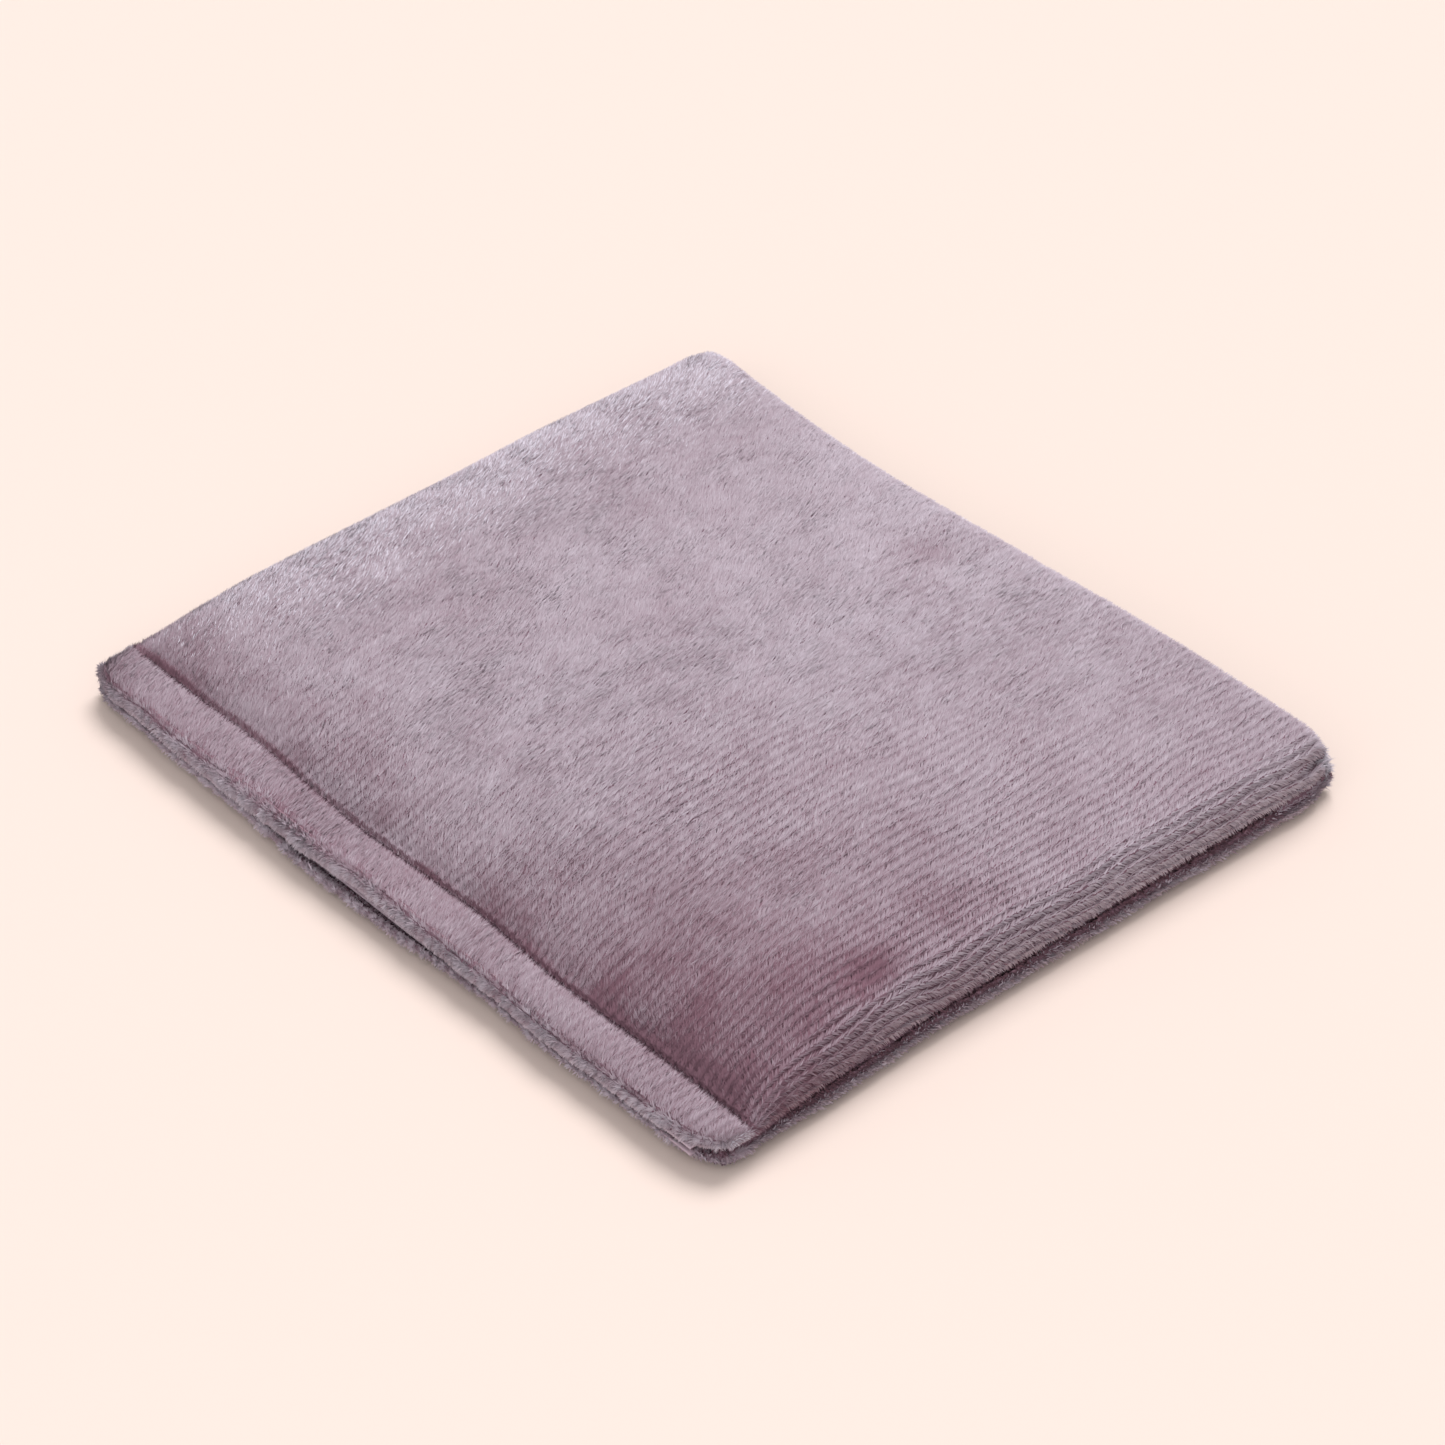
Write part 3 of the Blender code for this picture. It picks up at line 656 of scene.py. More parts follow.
def pile(name, cloth, looks, keep, spacing, seed, tone_at, painted_sheen_at):
    """Tufts of pile over a cloth, sorted by tone into pieces for each look; the tone is darker in the
    valleys, painted shade, and pale tips at the rim are a painted sheen.
    """
    rng = np.random.RandomState(seed)
    a, s = tuft_places(cloth, keep, spacing, rng)
    count = len(a)
    point, n, side = cloth.at(a, s)
    rim = painted_sheen_at(a, s)
    clump = clumped(cloth, a, s)
    folded = cloth.folded(a, s)
    pressed = cloth.pressed(a, s)
    depth = np.maximum(parting(a, s), cloth.crease(a, s))
    valley = depth / RIB_DEPTH
    slope = (parting(a + 0.12, s) - parting(a - 0.12, s)) / 0.24
    upright = unit(n + side * np.clip(slope, -0.7, 0.7)[:, None])
    direction = leaning(cloth, a, s, upright, np.cross(n, side), side, rng)
    uneven = 1 + (0.10 + 0.15 * cloth.fluffy(a, s) + 0.2 * folded) * clump
    height = (PILE + 0.2) * (1 - 0.4 * valley) * uneven * rng.uniform(0.88, 1.12, count)
    height = height * (1 - 0.8 * pressed)
    length_of = height / np.maximum((direction * n).sum(1), 0.5)
    root = point - n * ((depth + PILE + 0.2) * (1 - pressed))[:, None]
    tip = root + direction * length_of[:, None]
    wide = spacing * rng.uniform(0.6, 0.9, count)
    points, bent = tuft_shape(root, tip, n, direction, wide, rng.normal(0, 0.3, count))
    soft = upright * 0.75 + bent * 0.25 + rng.normal(0, 0.05, (count, 3))
    soft = unit(soft + np.array([0, 0, 0.5]) * skyward(cloth, a, s, rim)[:, None])
    tone = tone_at(a, s) + (0.06 + 0.14 * folded) * clump + 0.04 * noise(a, s, 3, 84)
    # Darker in the valleys between rows, where shade falls: painted shade.
    tone = tone + rng.normal(0, 0.06, count) - 0.6 * valley
    level = np.clip((tone * PILE_LEVELS).astype(int), 0, PILE_LEVELS - 1)
    # Pale tips along the rim: painted sheen.
    sheen_painted = rng.uniform(0, 1, count) < 0.95 * rim
    level = np.where(sheen_painted & (valley < 0.4), PILE_LEVELS, level)
    made = []
    for k, look in enumerate(looks):
        mine = np.flatnonzero(level == k)
        for part in range(0, len(mine), MOST_TUFTS):
            chunk = mine[part : part + MOST_TUFTS]
            label = f"{name}_{k + 1}_{part // MOST_TUFTS + 1}"
            made.append(tuft_mesh(label, points[chunk], soft[chunk], look))
    return made


def top_tone_and_painted_light(a, s):
    """Tone of the upper cloth's pile, from 0, dark and rosy, to 1, pale: its own uneven tone with
    painted light and shade, paler towards the back, painted shade in and beside the groove, in the
    dents, on the front right and along the right seam, a painted sheen at the rim, and painted light
    on the hem's fold and left end.
    """
    u = a / CLOTH_WIDTH
    v = (s - LIP_ARC) / TOP_LENGTH
    b = s - LIP_ARC
    tone = 0.595 + 0.05 * layered(a, s, 30, 81) + 0.035 * noise(a, s, 11, 87)
    # Paler towards the back, where the lamps fall: painted light.
    tone = tone + 0.05 * eased(v, 0.4, 1.0)
    tone = tone - 0.10 * eased(0.35 - u, 0.0, 0.3)
    # Darker in and beside the groove, with rosy blotches: painted shade.
    groove = np.clip(1 - np.abs(b - 1.0) / (5.0 + 3.5 * noise(a, s, 14, 82)), 0, 1)
    far = np.clip(1 - np.abs(b - 3.0) / (26.0 + 16.0 * noise(a, s, 22, 83)), 0, 1)
    shade_blotch = far * np.clip(noise(a, s, 9, 88) + 0.1, 0, 1)
    tone = tone - 0.30 * groove**0.7 - 0.14 * far - 0.2 * shade_blotch
    # Darker on the front right, where the top slopes away from the lamps: painted shade.
    right_front_shade = eased(u, 0.45, 0.93) * eased(0.62 - v, 0.0, 0.57)
    tone = tone - right_front_shade * (0.29 + 0.16 * layered(a, s, 16, 89))
    tone = tone + 0.13 * eased(a, CLOTH_WIDTH - 17, CLOTH_WIDTH - 9)
    # Darker along the right seam's groove: painted shade.
    tone = tone - 0.35 * (1 - eased(CLOTH_WIDTH - a, 0.8, 2.6))
    tone = tone - 0.07 * eased(u, 0.6, 0.9) + 0.05 * (1 - eased(u, 0.0, 0.3)) * (1 - far)
    # Darker in the dents: painted shade over the real dents.
    tone = tone - 0.24 * dented(a, b)
    # Paler at the rim: painted sheen.
    tone = tone + 0.18 * top_painted_sheen(a, s)
    band = 0.41 + 0.10 * layered(a, s, 26, 85) + 0.03 * eased(u, 0.6, 0.9)
    # The band darker next to the groove, painted shade, and towards its left end.
    band = band - 0.12 * np.clip(1 + b / 1.5, 0, 1) - 0.06 * (1 - eased(u, 0.15, 0.4))
    # Paler on the fold's face and at the hem's left end, which lie in shade: painted light.
    fold = 0.16 * (1 - eased(s - FOLD_S, 0.8, 2.4)) + 0.1 * (1 - eased(a, 3.0, 9.0))
    return np.where(b < 0, band + fold, tone)


def top_painted_sheen(a, s):
    """How much painted sheen and light the pile's pale tips give: most along the left side and the
    back, and at the hem's ends, which lie in shade.
    """
    b = s - LIP_ARC
    left = (0.45 + 0.1 * noise(a, s, 12, 94)) * (1 - eased(a, 6, 44)) * eased(b, 5.0, 50.0)
    ends = 0.75 * (1 - eased(a, 2.5, 7.0)) + 0.45 * (1 - eased(CLOTH_WIDTH - a, 2.5, 6.0))
    return np.where(b < 0, ends, np.maximum(left, eased(b, TOP_LENGTH - 13, TOP_LENGTH - 4)))


def base_tone(a, s):
    """Tone of the lower cloth's pile."""
    edge = np.minimum(a, CLOTH_WIDTH - a)
    paler = 0.04 * (1 - eased(edge, 3.0, 9.0)) * (s < BASE_LENGTH)
    return 0.52 + 0.08 * layered(a, s, 30, 86) + paler


def base_painted_sheen(a, s):
    """The lower cloth gets no painted sheen on its tips."""
    return np.zeros_like(a)


# ---- threads
def tube(path, radius, sides, first):
    """Points and faces of a tube drawn to a point at both ends; first is its first number."""
    path = np.asarray(path, float)
    forward = unit(np.gradient(path, axis=0))
    t1 = unit(np.cross(forward, [0.13, 0.21, 0.97]))
    t2 = np.cross(forward, t1)
    angle = np.arange(sides) * TAU / sides
    ring = t1[:, None] * np.cos(angle)[None, :, None] + t2[:, None] * np.sin(angle)[None, :, None]
    taper = np.ones(len(path))
    taper[[0, -1]] = 0.05
    points = path[:, None] + ring * (radius * taper)[:, None, None]
    i, j = np.meshgrid(np.arange(len(path) - 1), np.arange(sides), indexing="ij")
    here = (i * sides + j).ravel()
    beside = (i * sides + (j + 1) % sides).ravel()
    return points.reshape(-1, 3), np.stack([here, beside, beside + sides, here + sides], -1) + first


def resample(path, step):
    """The path at even steps, and the length along it."""
    path = np.asarray(path, float)
    length = np.concatenate([[0], np.cumsum(np.linalg.norm(np.diff(path, axis=0), axis=1))])
    even = np.linspace(0, length[-1], max(int(length[-1] / step), 2) + 1)
    return np.stack([np.interp(even, length, path[:, k]) for k in range(3)], -1), even


def twisted(name, paths, look, radius=0.17, twist=1.3):
    """Two-ply thread along each path."""
    points = []
    faces = []
    first = 0
    for path in paths:
        even, run = resample(path, 0.28)
        forward = unit(np.gradient(even, axis=0))
        t1 = unit(np.cross(forward, [0.13, 0.21, 0.97]))
        t2 = np.cross(forward, t1)
        for ply in range(2):
            angle = run / twist * TAU + ply * math.pi
            strand = even + (t1 * np.cos(angle)[:, None] + t2 * np.sin(angle)[:, None]) * radius * 0.6
            p, f = tube(strand, radius * 0.62, 5, first)
            points.append(p)
            faces.append(f)
            first += len(p)
    return make_mesh(name, np.concatenate(points), np.concatenate(faces), look)


def lockstitch(upper, lower, pitch):
    """The two threads of a row of machine stitches, from the lines along the cloth's two faces."""
    upper, run = resample(upper, 0.2)
    lower = resample(lower, 0.2)[0]
    matched = (np.arange(len(upper)) / len(upper) * len(lower)).astype(int)
    lower = lower[np.clip(matched, 0, len(lower) - 1)]
    phase = np.abs((run / pitch) % 1 - 0.5) * 2
    dip = eased(phase, 0.82, 0.98)[:, None] * 0.5
    return upper + (lower - upper) * dip, lower + (upper - lower) * dip


def row_on(cloth, widths, arc, from_end, out, sunk, turned_in):
    """The line along a lip at this distance out, on its outer or its turned-in face."""
    spread = np.linspace(0, arc, len(widths))
    highest = int(np.argmax(widths))
    half = slice(highest, None) if turned_in else slice(0, highest + 1)
    order = np.argsort(widths[half])
    c = np.interp(out, widths[half][order], spread[half][order])
    a = np.linspace(STITCH_IN, cloth.width - STITCH_IN, 500)
    point, n, _ = cloth.at(a, np.full_like(a, from_end(c)))
    return point - n * sunk


# ---- materials
def plain_look(name, colour, roughness):
    """A material of one colour; a fibre's detail is in its shape."""
    made = bpy.data.materials.new(name)
    made.use_nodes = True
    shader = made.node_tree.nodes["Principled BSDF"]
    shader.inputs["Base Color"].default_value = (*colour, 1)
    shader.inputs["Roughness"].default_value = roughness
    shader.inputs["Specular IOR Level"].default_value = 0.2
    return made


# The levels from dark to pale carry the pile's own uneven tone and also painted light and shade; the
# pale tips are a painted sheen.
PILE_DARK = (0.235, 0.125, 0.162)
PILE_PALE = (0.65, 0.575, 0.65)
PAINTED_SHEEN_TIPS = (0.715, 0.652, 0.74)
PILE_LEVELS = 8


def pile_looks():
    """The pile's tones from dark to pale, which carry painted light and shade as well as the pile's
    own tone, and its pale tips for a painted sheen.
    """
    made = []
    for k in range(PILE_LEVELS):
        part = k / (PILE_LEVELS - 1)
        tone = [low + (high - low) * part for low, high in zip(PILE_DARK, PILE_PALE)]
        made.append(plain_look(f"plush_pile_{k + 1}", tone, 1.0))
    return [*made, plain_look("plush_pile_painted_sheen", PAINTED_SHEEN_TIPS, 1.0)]


# ---- stage
FLOOR = (0.765, 0.636, 0.578)
FLOOR_HALF = 6.0  # metres
WORLD_STRENGTH = 0.511
# Name, strength, angular size in degrees and direction towards the lamp
LAMPS = (("key", 2.6, 34, (-0.38, 0.65, 1.0)), ("fill", 1.1, 80, (0.5, -0.8, 0.6)))


def stage():
    """A plain floor, an even sky and two soft lamps."""
    corners = np.array([[-1, -1, 0], [1, -1, 0], [1, 1, 0], [-1, 1, 0]]) * FLOOR_HALF / MM
    floor = make_mesh("floor", corners, [[0, 1, 2, 3]], plain_look("floor", FLOOR, 1.0), False)
    floor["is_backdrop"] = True
    world = bpy.data.worlds.new("studio")
    world.use_nodes = True
    background = world.node_tree.nodes["Background"]
    background.inputs["Color"].default_value = (1.0, 1.0, 1.0, 1)
    background.inputs["Strength"].default_value = WORLD_STRENGTH
    bpy.context.scene.world = world
    for name, energy, spread, toward in LAMPS:
        light = bpy.data.lights.new(name, "SUN")
        light.energy = energy
        light.angle = math.radians(spread)
        lamp = bpy.data.objects.new(name, light)
        bpy.context.scene.collection.objects.link(lamp)
        lamp.rotation_euler = Vector(toward).to_track_quat("Z", "Y").to_euler()
    bpy.context.scene.view_settings.view_transform = "Standard"


def camera():
    """A level camera to the front right of the pillow, looking down at it."""
    azimuth = math.radians(48.7)
    elevation = math.radians(38.99)
    distance = 1.2114
    target = Vector((0.00081, 0.00338, 0.005))
    flat = math.cos(elevation)
    back = Vector((math.sin(azimuth) * flat, -math.cos(azimuth) * flat, math.sin(elevation)))
    lens = bpy.data.cameras.new("camera")
    lens.sensor_width = 36
    lens.lens = 142.0
    seen = bpy.data.objects.new("camera", lens)
    bpy.context.scene.collection.objects.link(seen)
    seen.location = target + back * distance
    seen.rotation_euler = back.to_track_quat("Z", "Y").to_euler()
    bpy.context.scene.camera = seen


# ---- the object
# The knitted ground is darker and rosier than the pile: painted shade of the pile's depth.
ground_look = plain_look("plush_ground", (0.25, 0.145, 0.185), 1.0)
looks = pile_looks()
UPPER_LENGTH = LIP_ARC + TOP_LENGTH
LOWER_LENGTH = BASE_LENGTH + UNDER_ARC

lower_fold = BASE_LENGTH + UNDER_ARC * np.argmax(UNDER_W) / len(UNDER_W)
upper = Cloth(upper_cloth, CLOTH_WIDTH, UPPER_LENGTH, FOLD_S, True)
lower = Cloth(lower_cloth, CLOTH_WIDTH, LOWER_LENGTH, lower_fold, False)
cover_top = ground("plush_top", upper, ground_look)
cover_base = ground("plush_base", lower, ground_look)


def top_keep(a, s, rng):
    """No pile on the turned-in end, behind the tape."""
    return s > 5.0


def base_keep(a, s, rng):
    """The underside lies on the floor, where the pile is pressed flat and thinner."""
    edge = np.minimum(np.minimum(a, CLOTH_WIDTH - a), s) < 16
    lip = s > BASE_LENGTH - 4
    return (s < LOWER_LENGTH - 5.0) & (edge | lip | (rng.uniform(0, 1, len(a)) < 0.6))


top_pile = pile("pile_top", upper, looks, top_keep, 0.29, 5, top_tone_and_painted_light, top_painted_sheen)
base_pile = pile("pile_base", lower, looks, base_keep, 0.38, 6, base_tone, base_painted_sheen)

for u, facing in ((0.0, (-1.0, 1.0)), (1.0, (1.0, 1.0))):
    x, y = outline_point(np.array(u), np.array(1.0))
    centre = (float(x) - facing[0] * 1.0, float(y) - 1.0)
    label = "right" if u else "left"
    top_ends = (SEAM_Z + 0.6, EDGE_TOP + 1.6)
    base_ends = (1.6, SEAM_Z - 0.4)
    name = f"pile_top_{label}_corner"
    top_pile.append(frayed(name, centre, facing, *top_ends, 0.9, looks[7], 41))
    name = f"pile_base_{label}_corner"
    base_pile.append(frayed(name, centre, facing, *base_ends, 0.9, looks[5], 42))


def seam_line(along_back, side):
    """The line of a seam, inside the tucks of the two panels."""
    if along_back:
        a = np.linspace(9.0, CLOTH_WIDTH - 9.0, 400)
        point = upper.at(a, np.full_like(a, upper.length))[0]
        return point + [0, -SEAM_IN, 0]
    s = np.linspace(LIP_ARC + 16.0, upper.length - 8.0, 400)
    point = upper.at(np.full_like(s, 0.0 if side < 0 else CLOTH_WIDTH), s)[0]
    return point + [-side * SEAM_IN, 0, 0]


thread_look = plain_look("sewing_thread_look", (0.42, 0.26, 0.31), 0.7)


def from_lip_end(c):
    """The upper cloth's length at c out from the groove along its lip."""
    return LIP_ARC - c


def from_base(c):
    """The lower cloth's length at c out from the groove along its lip."""
    return BASE_LENGTH + c


upper_hem = (upper, LIP_W, LIP_ARC, from_lip_end)
lower_hem = (lower, UNDER_W, UNDER_ARC, from_base)
rows_sewn = []
for node, body, hem, out in (
    ("upper_lip_inner_stitch", "lip", upper_hem, 2.6),
    ("upper_lip_outer_stitch", "lip", upper_hem, 9.6),
    ("lower_lip_inner_stitch", "cover", lower_hem, 2.6),
    ("lower_lip_outer_stitch", "cover", lower_hem, 9.8),
):
    face = row_on(*hem, out, PILE + 0.1, False)
    back = row_on(*hem, out, PILE + 0.1, True)
    made = twisted(node + "ing", lockstitch(face, back, HEM_STITCH), thread_look)
    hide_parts(node)
    rows_sewn.append((made, body))
for node, along_back, side in (
    ("left_side_seam_thread", False, -1),
    ("right_side_seam_thread", False, 1),
    ("back_seam_thread", True, 0),
):
    line = seam_line(along_back, side)
    runs = lockstitch(line + [0, 0, 0.45], line - [0, 0, 0.45], SEAM_STITCH)
    made = twisted(node + "ing", runs, thread_look)
    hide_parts(node)
    rows_sewn.append((made, "cover"))
for made, body in rows_sewn:
    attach(made, body)

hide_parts("cover_top_panel", "upper_lip")
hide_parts("cover_bottom_panel")
for piece in [cover_top, *top_pile]:
    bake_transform(piece)
for piece in [cover_base, *base_pile]:
    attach(piece, "cover")

for node in ("left_bar_tack", "right_bar_tack"):
    low, high = box_mm(node)
    turns = np.arange(34)
    x = np.where(turns % 2, low[0], high[0])
    y = np.linspace(low[1], high[1], len(turns))
    zigzag = np.stack([x, y, np.full(len(turns), (low[2] + high[2]) / 2)], -1)
    layers = [zigzag + [0, 0, 0.22], zigzag[::-1] - [0, 0, 0.22]]
    tack = twisted(node + "_stitches", layers, thread_look, 0.14)
    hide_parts(node)
    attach(tack, "cover")


# ---- hook and loop tapes
def tape_base(low, high, under, over):
    """Points and faces of a woven tape with a thicker selvedge along both edges."""
    x = np.linspace(low[0], high[0], 380)
    y = np.linspace(low[1], high[1], 29)
    gx, gy = np.meshgrid(x, y, indexing="xy")
    rib = 0.05 * np.cos(gx * TAU / 1.1) * np.cos(gy * TAU / 0.9)
    edge = np.minimum(gy - low[1], high[1] - gy)
    thick = 0.08 * (edge < 1.0)
    ends = np.minimum(gx - low[0], high[0] - gx)
    keep_in = rounded(np.minimum(edge, ends) / 0.3 + 0.05)
    middle = (under + over) / 2
    half = (over - under) / 2
    up = np.stack([gx, gy, middle + (half + rib + thick) * keep_in], -1)
    down = np.stack([gx, gy, middle - (half + rib) * keep_in], -1)
    return slab(up, down)


def joined(name, pieces, look):
    """One object from several lots of points and faces of four corners."""
    points = []
    faces = []
    first = 0
    for p, f in pieces:
        points.append(p)
        faces.append(f + first)
        first += len(p)
    return make_mesh(name, np.concatenate(points), np.concatenate(faces), look)


hook_look = plain_look("hook_tape_look", (0.50, 0.38, 0.44), 0.45)
pieces = [tape_base(HOOK_LOW, HOOK_HIGH, HOOK_LOW[2], HOOK_LOW[2] + 0.35)]
hook = np.array(
    [[0, 0, 0], [0, 0, 0.28], [0, -0.04, 0.42], [0, -0.16, 0.5], [0, -0.28, 0.44], [0, -0.3, 0.34]]
)
for row, y in enumerate(np.arange(HOOK_LOW[1] + 1.4, HOOK_HIGH[1] - 1.2, 0.95)):
    facing = 1 if row % 2 else -1
    for x in np.arange(HOOK_LOW[0] + 1.2 + 0.5 * (row % 2), HOOK_HIGH[0] - 1.2, 1.0):
        foot = [x, y, HOOK_LOW[2] + 0.33]
        pieces.append(tube(hook * [1, facing, 1] + foot, 0.09, 4, 0))
hook_tape = joined("hook_tape_hooks", pieces, hook_look)
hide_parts("hook_tape")
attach(hook_tape, "cover")

LOOPS = 3600
loop_look = plain_look("loop_tape_look", (0.54, 0.42, 0.48), 0.9)
pieces = [tape_base(LOOP_LOW, LOOP_HIGH, LOOP_HIGH[2] - 0.35, LOOP_HIGH[2])]
rng = np.random.RandomState(21)
bow = np.linspace(0, math.pi, 6)
for _ in range(LOOPS):
    x = rng.uniform(LOOP_LOW[0] + 1.0, LOOP_HIGH[0] - 1.0)
    y = rng.uniform(LOOP_LOW[1] + 1.0, LOOP_HIGH[1] - 1.0)
    turn = rng.uniform(0, math.pi)
    tall = rng.uniform(0.35, 0.6)
    reach = rng.uniform(0.3, 0.6)
    tip = rng.uniform(-0.2, 0.2)
    loop_x = np.cos(bow) * reach * math.cos(turn) + tip * np.sin(bow)
    loop_y = np.cos(bow) * reach * math.sin(turn)
    loop = np.stack([loop_x, loop_y, -np.sin(bow) * tall], -1)
    pieces.append(tube(loop + [x, y, LOOP_HIGH[2] - 0.33], 0.05, 3, 0))
loop_tape = joined("loop_tape_loops", pieces, loop_look)
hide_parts("loop_tape")
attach(loop_tape, "lip")


# ---- the inner bag and its grain
BAG_INSET = 6.0
BAG_MOUTH = box_mm("inner_bag_top")[0][1]
BAG_BASE = box_mm("inner_bag_bottom")[0][2]
BAG_SEAM_Z = 6.2
COVER_THICK = 3.4  # from the cover's outer face to the bag
BAG_WIDTH = 190.0
BAG_DEPTH = 152.0
SWELL_FRAMES = 20
SWELL_MOST = 0.5


def bag_point(u, v, upper_side):
    """A point of the bag's upper or lower cloth."""
    left = -HALF_WIDTH - through(LEFT_BOW, v) + BAG_INSET
    right = HALF_WIDTH + through(RIGHT_BOW, v) - BAG_INSET
    back = BACK_Y + through(BACK_BOW, u) - BAG_INSET
    x = left + (right - left) * u
    y = BAG_MOUTH + (back - BAG_MOUTH) * v
    side = 2 * (HALF_WIDTH - BAG_INSET) * np.minimum(u, 1 - u)
    end = (back - BAG_MOUTH) * np.minimum(v, 1 - v)
    pucker = 0.35 * noise(x, y, 7, 101) + 0.25 * noise(x, y, 3.5, 102)
    u_cover = (x + HALF_WIDTH) / (2 * HALF_WIDTH)
    v_cover = (y - GROOVE_Y) / DEPTH
    near = np.exp(-np.minimum(side, end) / 6.0)
    pucker = pucker * near * rounded(side / 3) * rounded(end / 3)
    if upper_side:
        share = rounded(side / 11.0) * rounded(end / 13.0)
        high = through(SHOULDER, u) + CROWN * np.sin(math.pi * u) * np.sin(math.pi * v)
        high = np.minimum(high, crown_z(u_cover, v_cover)) - COVER_THICK + lumps(x, y)
        z = BAG_SEAM_Z + 0.15 + (high - BAG_SEAM_Z) * share + pucker
    else:
        share = rounded(side / 9.0) * rounded(end / 9.0)
        z = BAG_SEAM_Z - 0.15 + (BAG_BASE - BAG_SEAM_Z + 0.3) * share + 0.5 * pucker
    return np.stack([x, y, z], -1)


def swell(obj, most):
    """Blow a cloth up under pressure, no point moving further than this."""
    scene = bpy.context.scene
    start = np.array([v.co for v in obj.data.vertices])
    cloth = obj.modifiers.new("cloth", "CLOTH")
    cloth.settings.use_pressure = True
    cloth.settings.uniform_pressure_force = 4
    cloth.settings.tension_stiffness = 5
    cloth.settings.bending_stiffness = 0.05
    cloth.settings.effector_weights.gravity = 0
    for k in range(1, SWELL_FRAMES + 1):
        scene.frame_set(k)
    blown = obj.evaluated_get(bpy.context.evaluated_depsgraph_get())
    ended = np.array([v.co for v in blown.data.vertices])
    obj.modifiers.remove(cloth)
    scene.frame_set(1)
    moved = ended - start
    far = np.linalg.norm(moved, axis=1, keepdims=True)
    moved = moved * np.minimum(1, most / np.maximum(far, 1e-9))
    obj.data.vertices.foreach_set("co", (start + moved).astype(np.float32).ravel())
    obj.data.update()


def make_bag(look):
    """The cotton bag, its two cloths joined round the rim."""
    columns = 97
    rows = 79
    u, v = np.meshgrid(np.linspace(0, 1, columns), np.linspace(0, 1, rows), indexing="xy")
    closed = slab(bag_point(u, v, True), bag_point(u, v, False))
    made = make_mesh("inner_bag", *closed, look)
    swell(made, SWELL_MOST * MM)
    smooth = made.modifiers.new("smooth", "SUBSURF")
    smooth.levels = 1
    smooth.render_levels = 1
    return made


def cotton_look():
    """Plain-woven cotton."""
    made = plain_look("cotton_look", (0.80, 0.76, 0.68), 0.9)
    nodes = made.node_tree.nodes
    links = made.node_tree.links
    place = nodes.new("ShaderNodeTexCoord")
    weave = []
    for axis in ("X", "Y"):
        wave = nodes.new("ShaderNodeTexWave")
        wave.bands_direction = axis
        wave.inputs["Scale"].default_value = 520.0
        wave.inputs["Distortion"].default_value = 0.6
        links.new(place.outputs["Object"], wave.inputs["Vector"])
        weave.append(wave)
    both = nodes.new("ShaderNodeMath")
    both.operation = "MULTIPLY"
    for k, wave in enumerate(weave):
        links.new(wave.outputs["Fac"], both.inputs[k])
    bump = nodes.new("ShaderNodeBump")
    bump.inputs["Strength"].default_value = 0.4
    bump.inputs["Distance"].default_value = 0.0002
    links.new(both.outputs[0], bump.inputs["Height"])
    links.new(bump.outputs["Normal"], nodes["Principled BSDF"].inputs["Normal"])
    return made


bag = make_bag(cotton_look())
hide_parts("inner_bag_top", "inner_bag_bottom")
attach(bag, "cover")

bag_thread_look = plain_look("bag_thread_look", (0.88, 0.85, 0.78), 0.6)
v = np.linspace(0.09, 0.985, 160)
u = np.linspace(0.02, 0.98, 200)
left = bag_point(np.full_like(v, 0.012), v, True)
right = bag_point(np.full_like(v, 0.988), v, True)
back = bag_point(u, np.full_like(u, 0.985), True)
runs = []
for line in (left, right, back):
    line[:, 2] = BAG_SEAM_Z
    runs.extend(lockstitch(line + [0, 0, 0.8], line - [0, 0, 0.8], BAG_STITCH))
seam = twisted("inner_bag_seam_stitches", runs, bag_thread_look, 0.13)
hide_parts("inner_bag_seam_thread")
WHIP_TURNS = 62
along = np.linspace(0, 1, 2400)
whip = bag_point(0.035 + 0.93 * along, np.full_like(along, 0.004), True)
angle = along * WHIP_TURNS * TAU
round_edge = [np.zeros_like(angle), np.cos(angle) * 0.9 + 0.5, np.sin(angle) * 0.8 - 0.1]
whip = whip + np.stack(round_edge, -1)
closing = twisted("inner_bag_closing_whipstitch", [whip], bag_thread_look, 0.16)
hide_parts("inner_bag_closing_stitch")
for piece in (seam, closing):
    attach(piece, "cover")


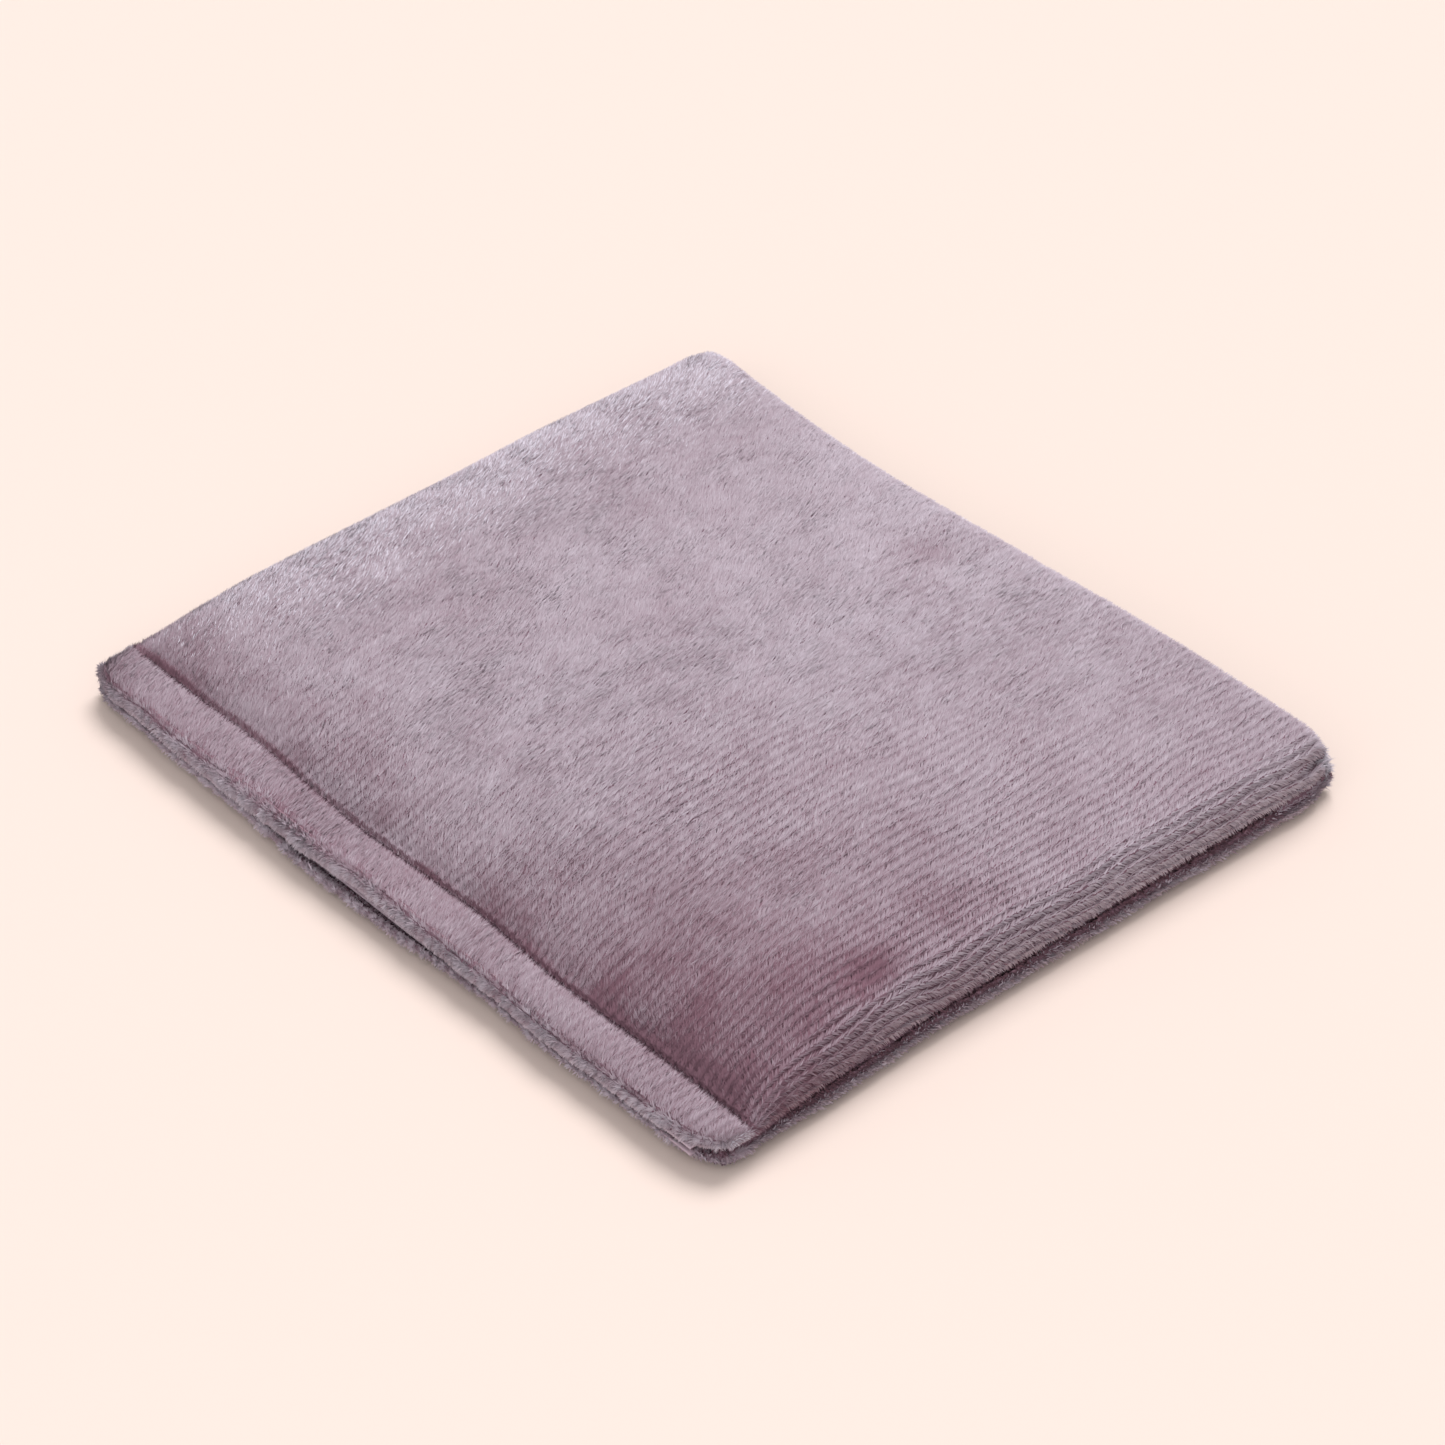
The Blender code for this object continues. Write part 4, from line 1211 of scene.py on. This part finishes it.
SEED_APART = (4.4, 3.4, 2.2)  # across, along and up
SEED_LAYERS = 6
SEED_POINT, SEED_BLUNT, SEED_WIDE, SEED_THICK = 2.1, 1.6, 1.1, 0.6


def make_grain(look):
    """Loose seeds filling the bag."""
    rng = np.random.RandomState(31)
    along = np.arange(0.02, 0.985, SEED_APART[0] / BAG_WIDTH)
    back = np.arange(0.02, 0.985, SEED_APART[1] / BAG_DEPTH)
    u, v, layer = np.meshgrid(along, back, np.arange(SEED_LAYERS), indexing="ij")
    u = (u + rng.uniform(-0.006, 0.006, u.shape)).ravel()
    v = (v + rng.uniform(-0.006, 0.006, v.shape)).ravel()
    top = bag_point(u, v, True)
    low = bag_point(u, v, False)
    z = low[:, 2] + 1.5 + (layer.ravel() + rng.uniform(-0.2, 0.2, len(u))) * SEED_APART[2]
    inside = z < top[:, 2] - 1.3
    at = np.stack([top[inside, 0], top[inside, 1], z[inside]], -1)
    count = len(at)
    turn = rng.uniform(0, TAU, count)
    tilt = rng.normal(0, 0.25, count)
    level = np.cos(tilt)
    long_way = np.stack([np.cos(turn) * level, np.sin(turn) * level, np.sin(tilt)], -1)
    flat = unit(np.cross(long_way, np.cross([0.0, 0.0, 1.0], long_way)))
    wide_way = np.cross(flat, long_way)
    ring = [at - long_way * SEED_BLUNT]
    for k in range(6):
        angle = TAU * k / 6
        out = wide_way * (SEED_WIDE * math.cos(angle)) + flat * (SEED_THICK * math.sin(angle))
        ring.append(at + out - long_way * 0.35)
    ring.append(at + long_way * SEED_POINT)
    points = np.stack(ring, 1)
    faces = []
    for k in range(6):
        after = (k + 1) % 6
        faces.append([0, 1 + after, 1 + k])
        faces.append([7, 1 + k, 1 + after])
    faces = (np.arange(count)[:, None, None] * 8 + np.array(faces)[None]).reshape(-1, 3)
    return make_mesh("grain_seeds", points.reshape(-1, 3), faces, look)


grain = make_grain(plain_look("grain_look", (0.42, 0.22, 0.10), 0.35))
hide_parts("grain_filling")
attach(grain, "cover")

stage()
camera()

low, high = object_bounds()
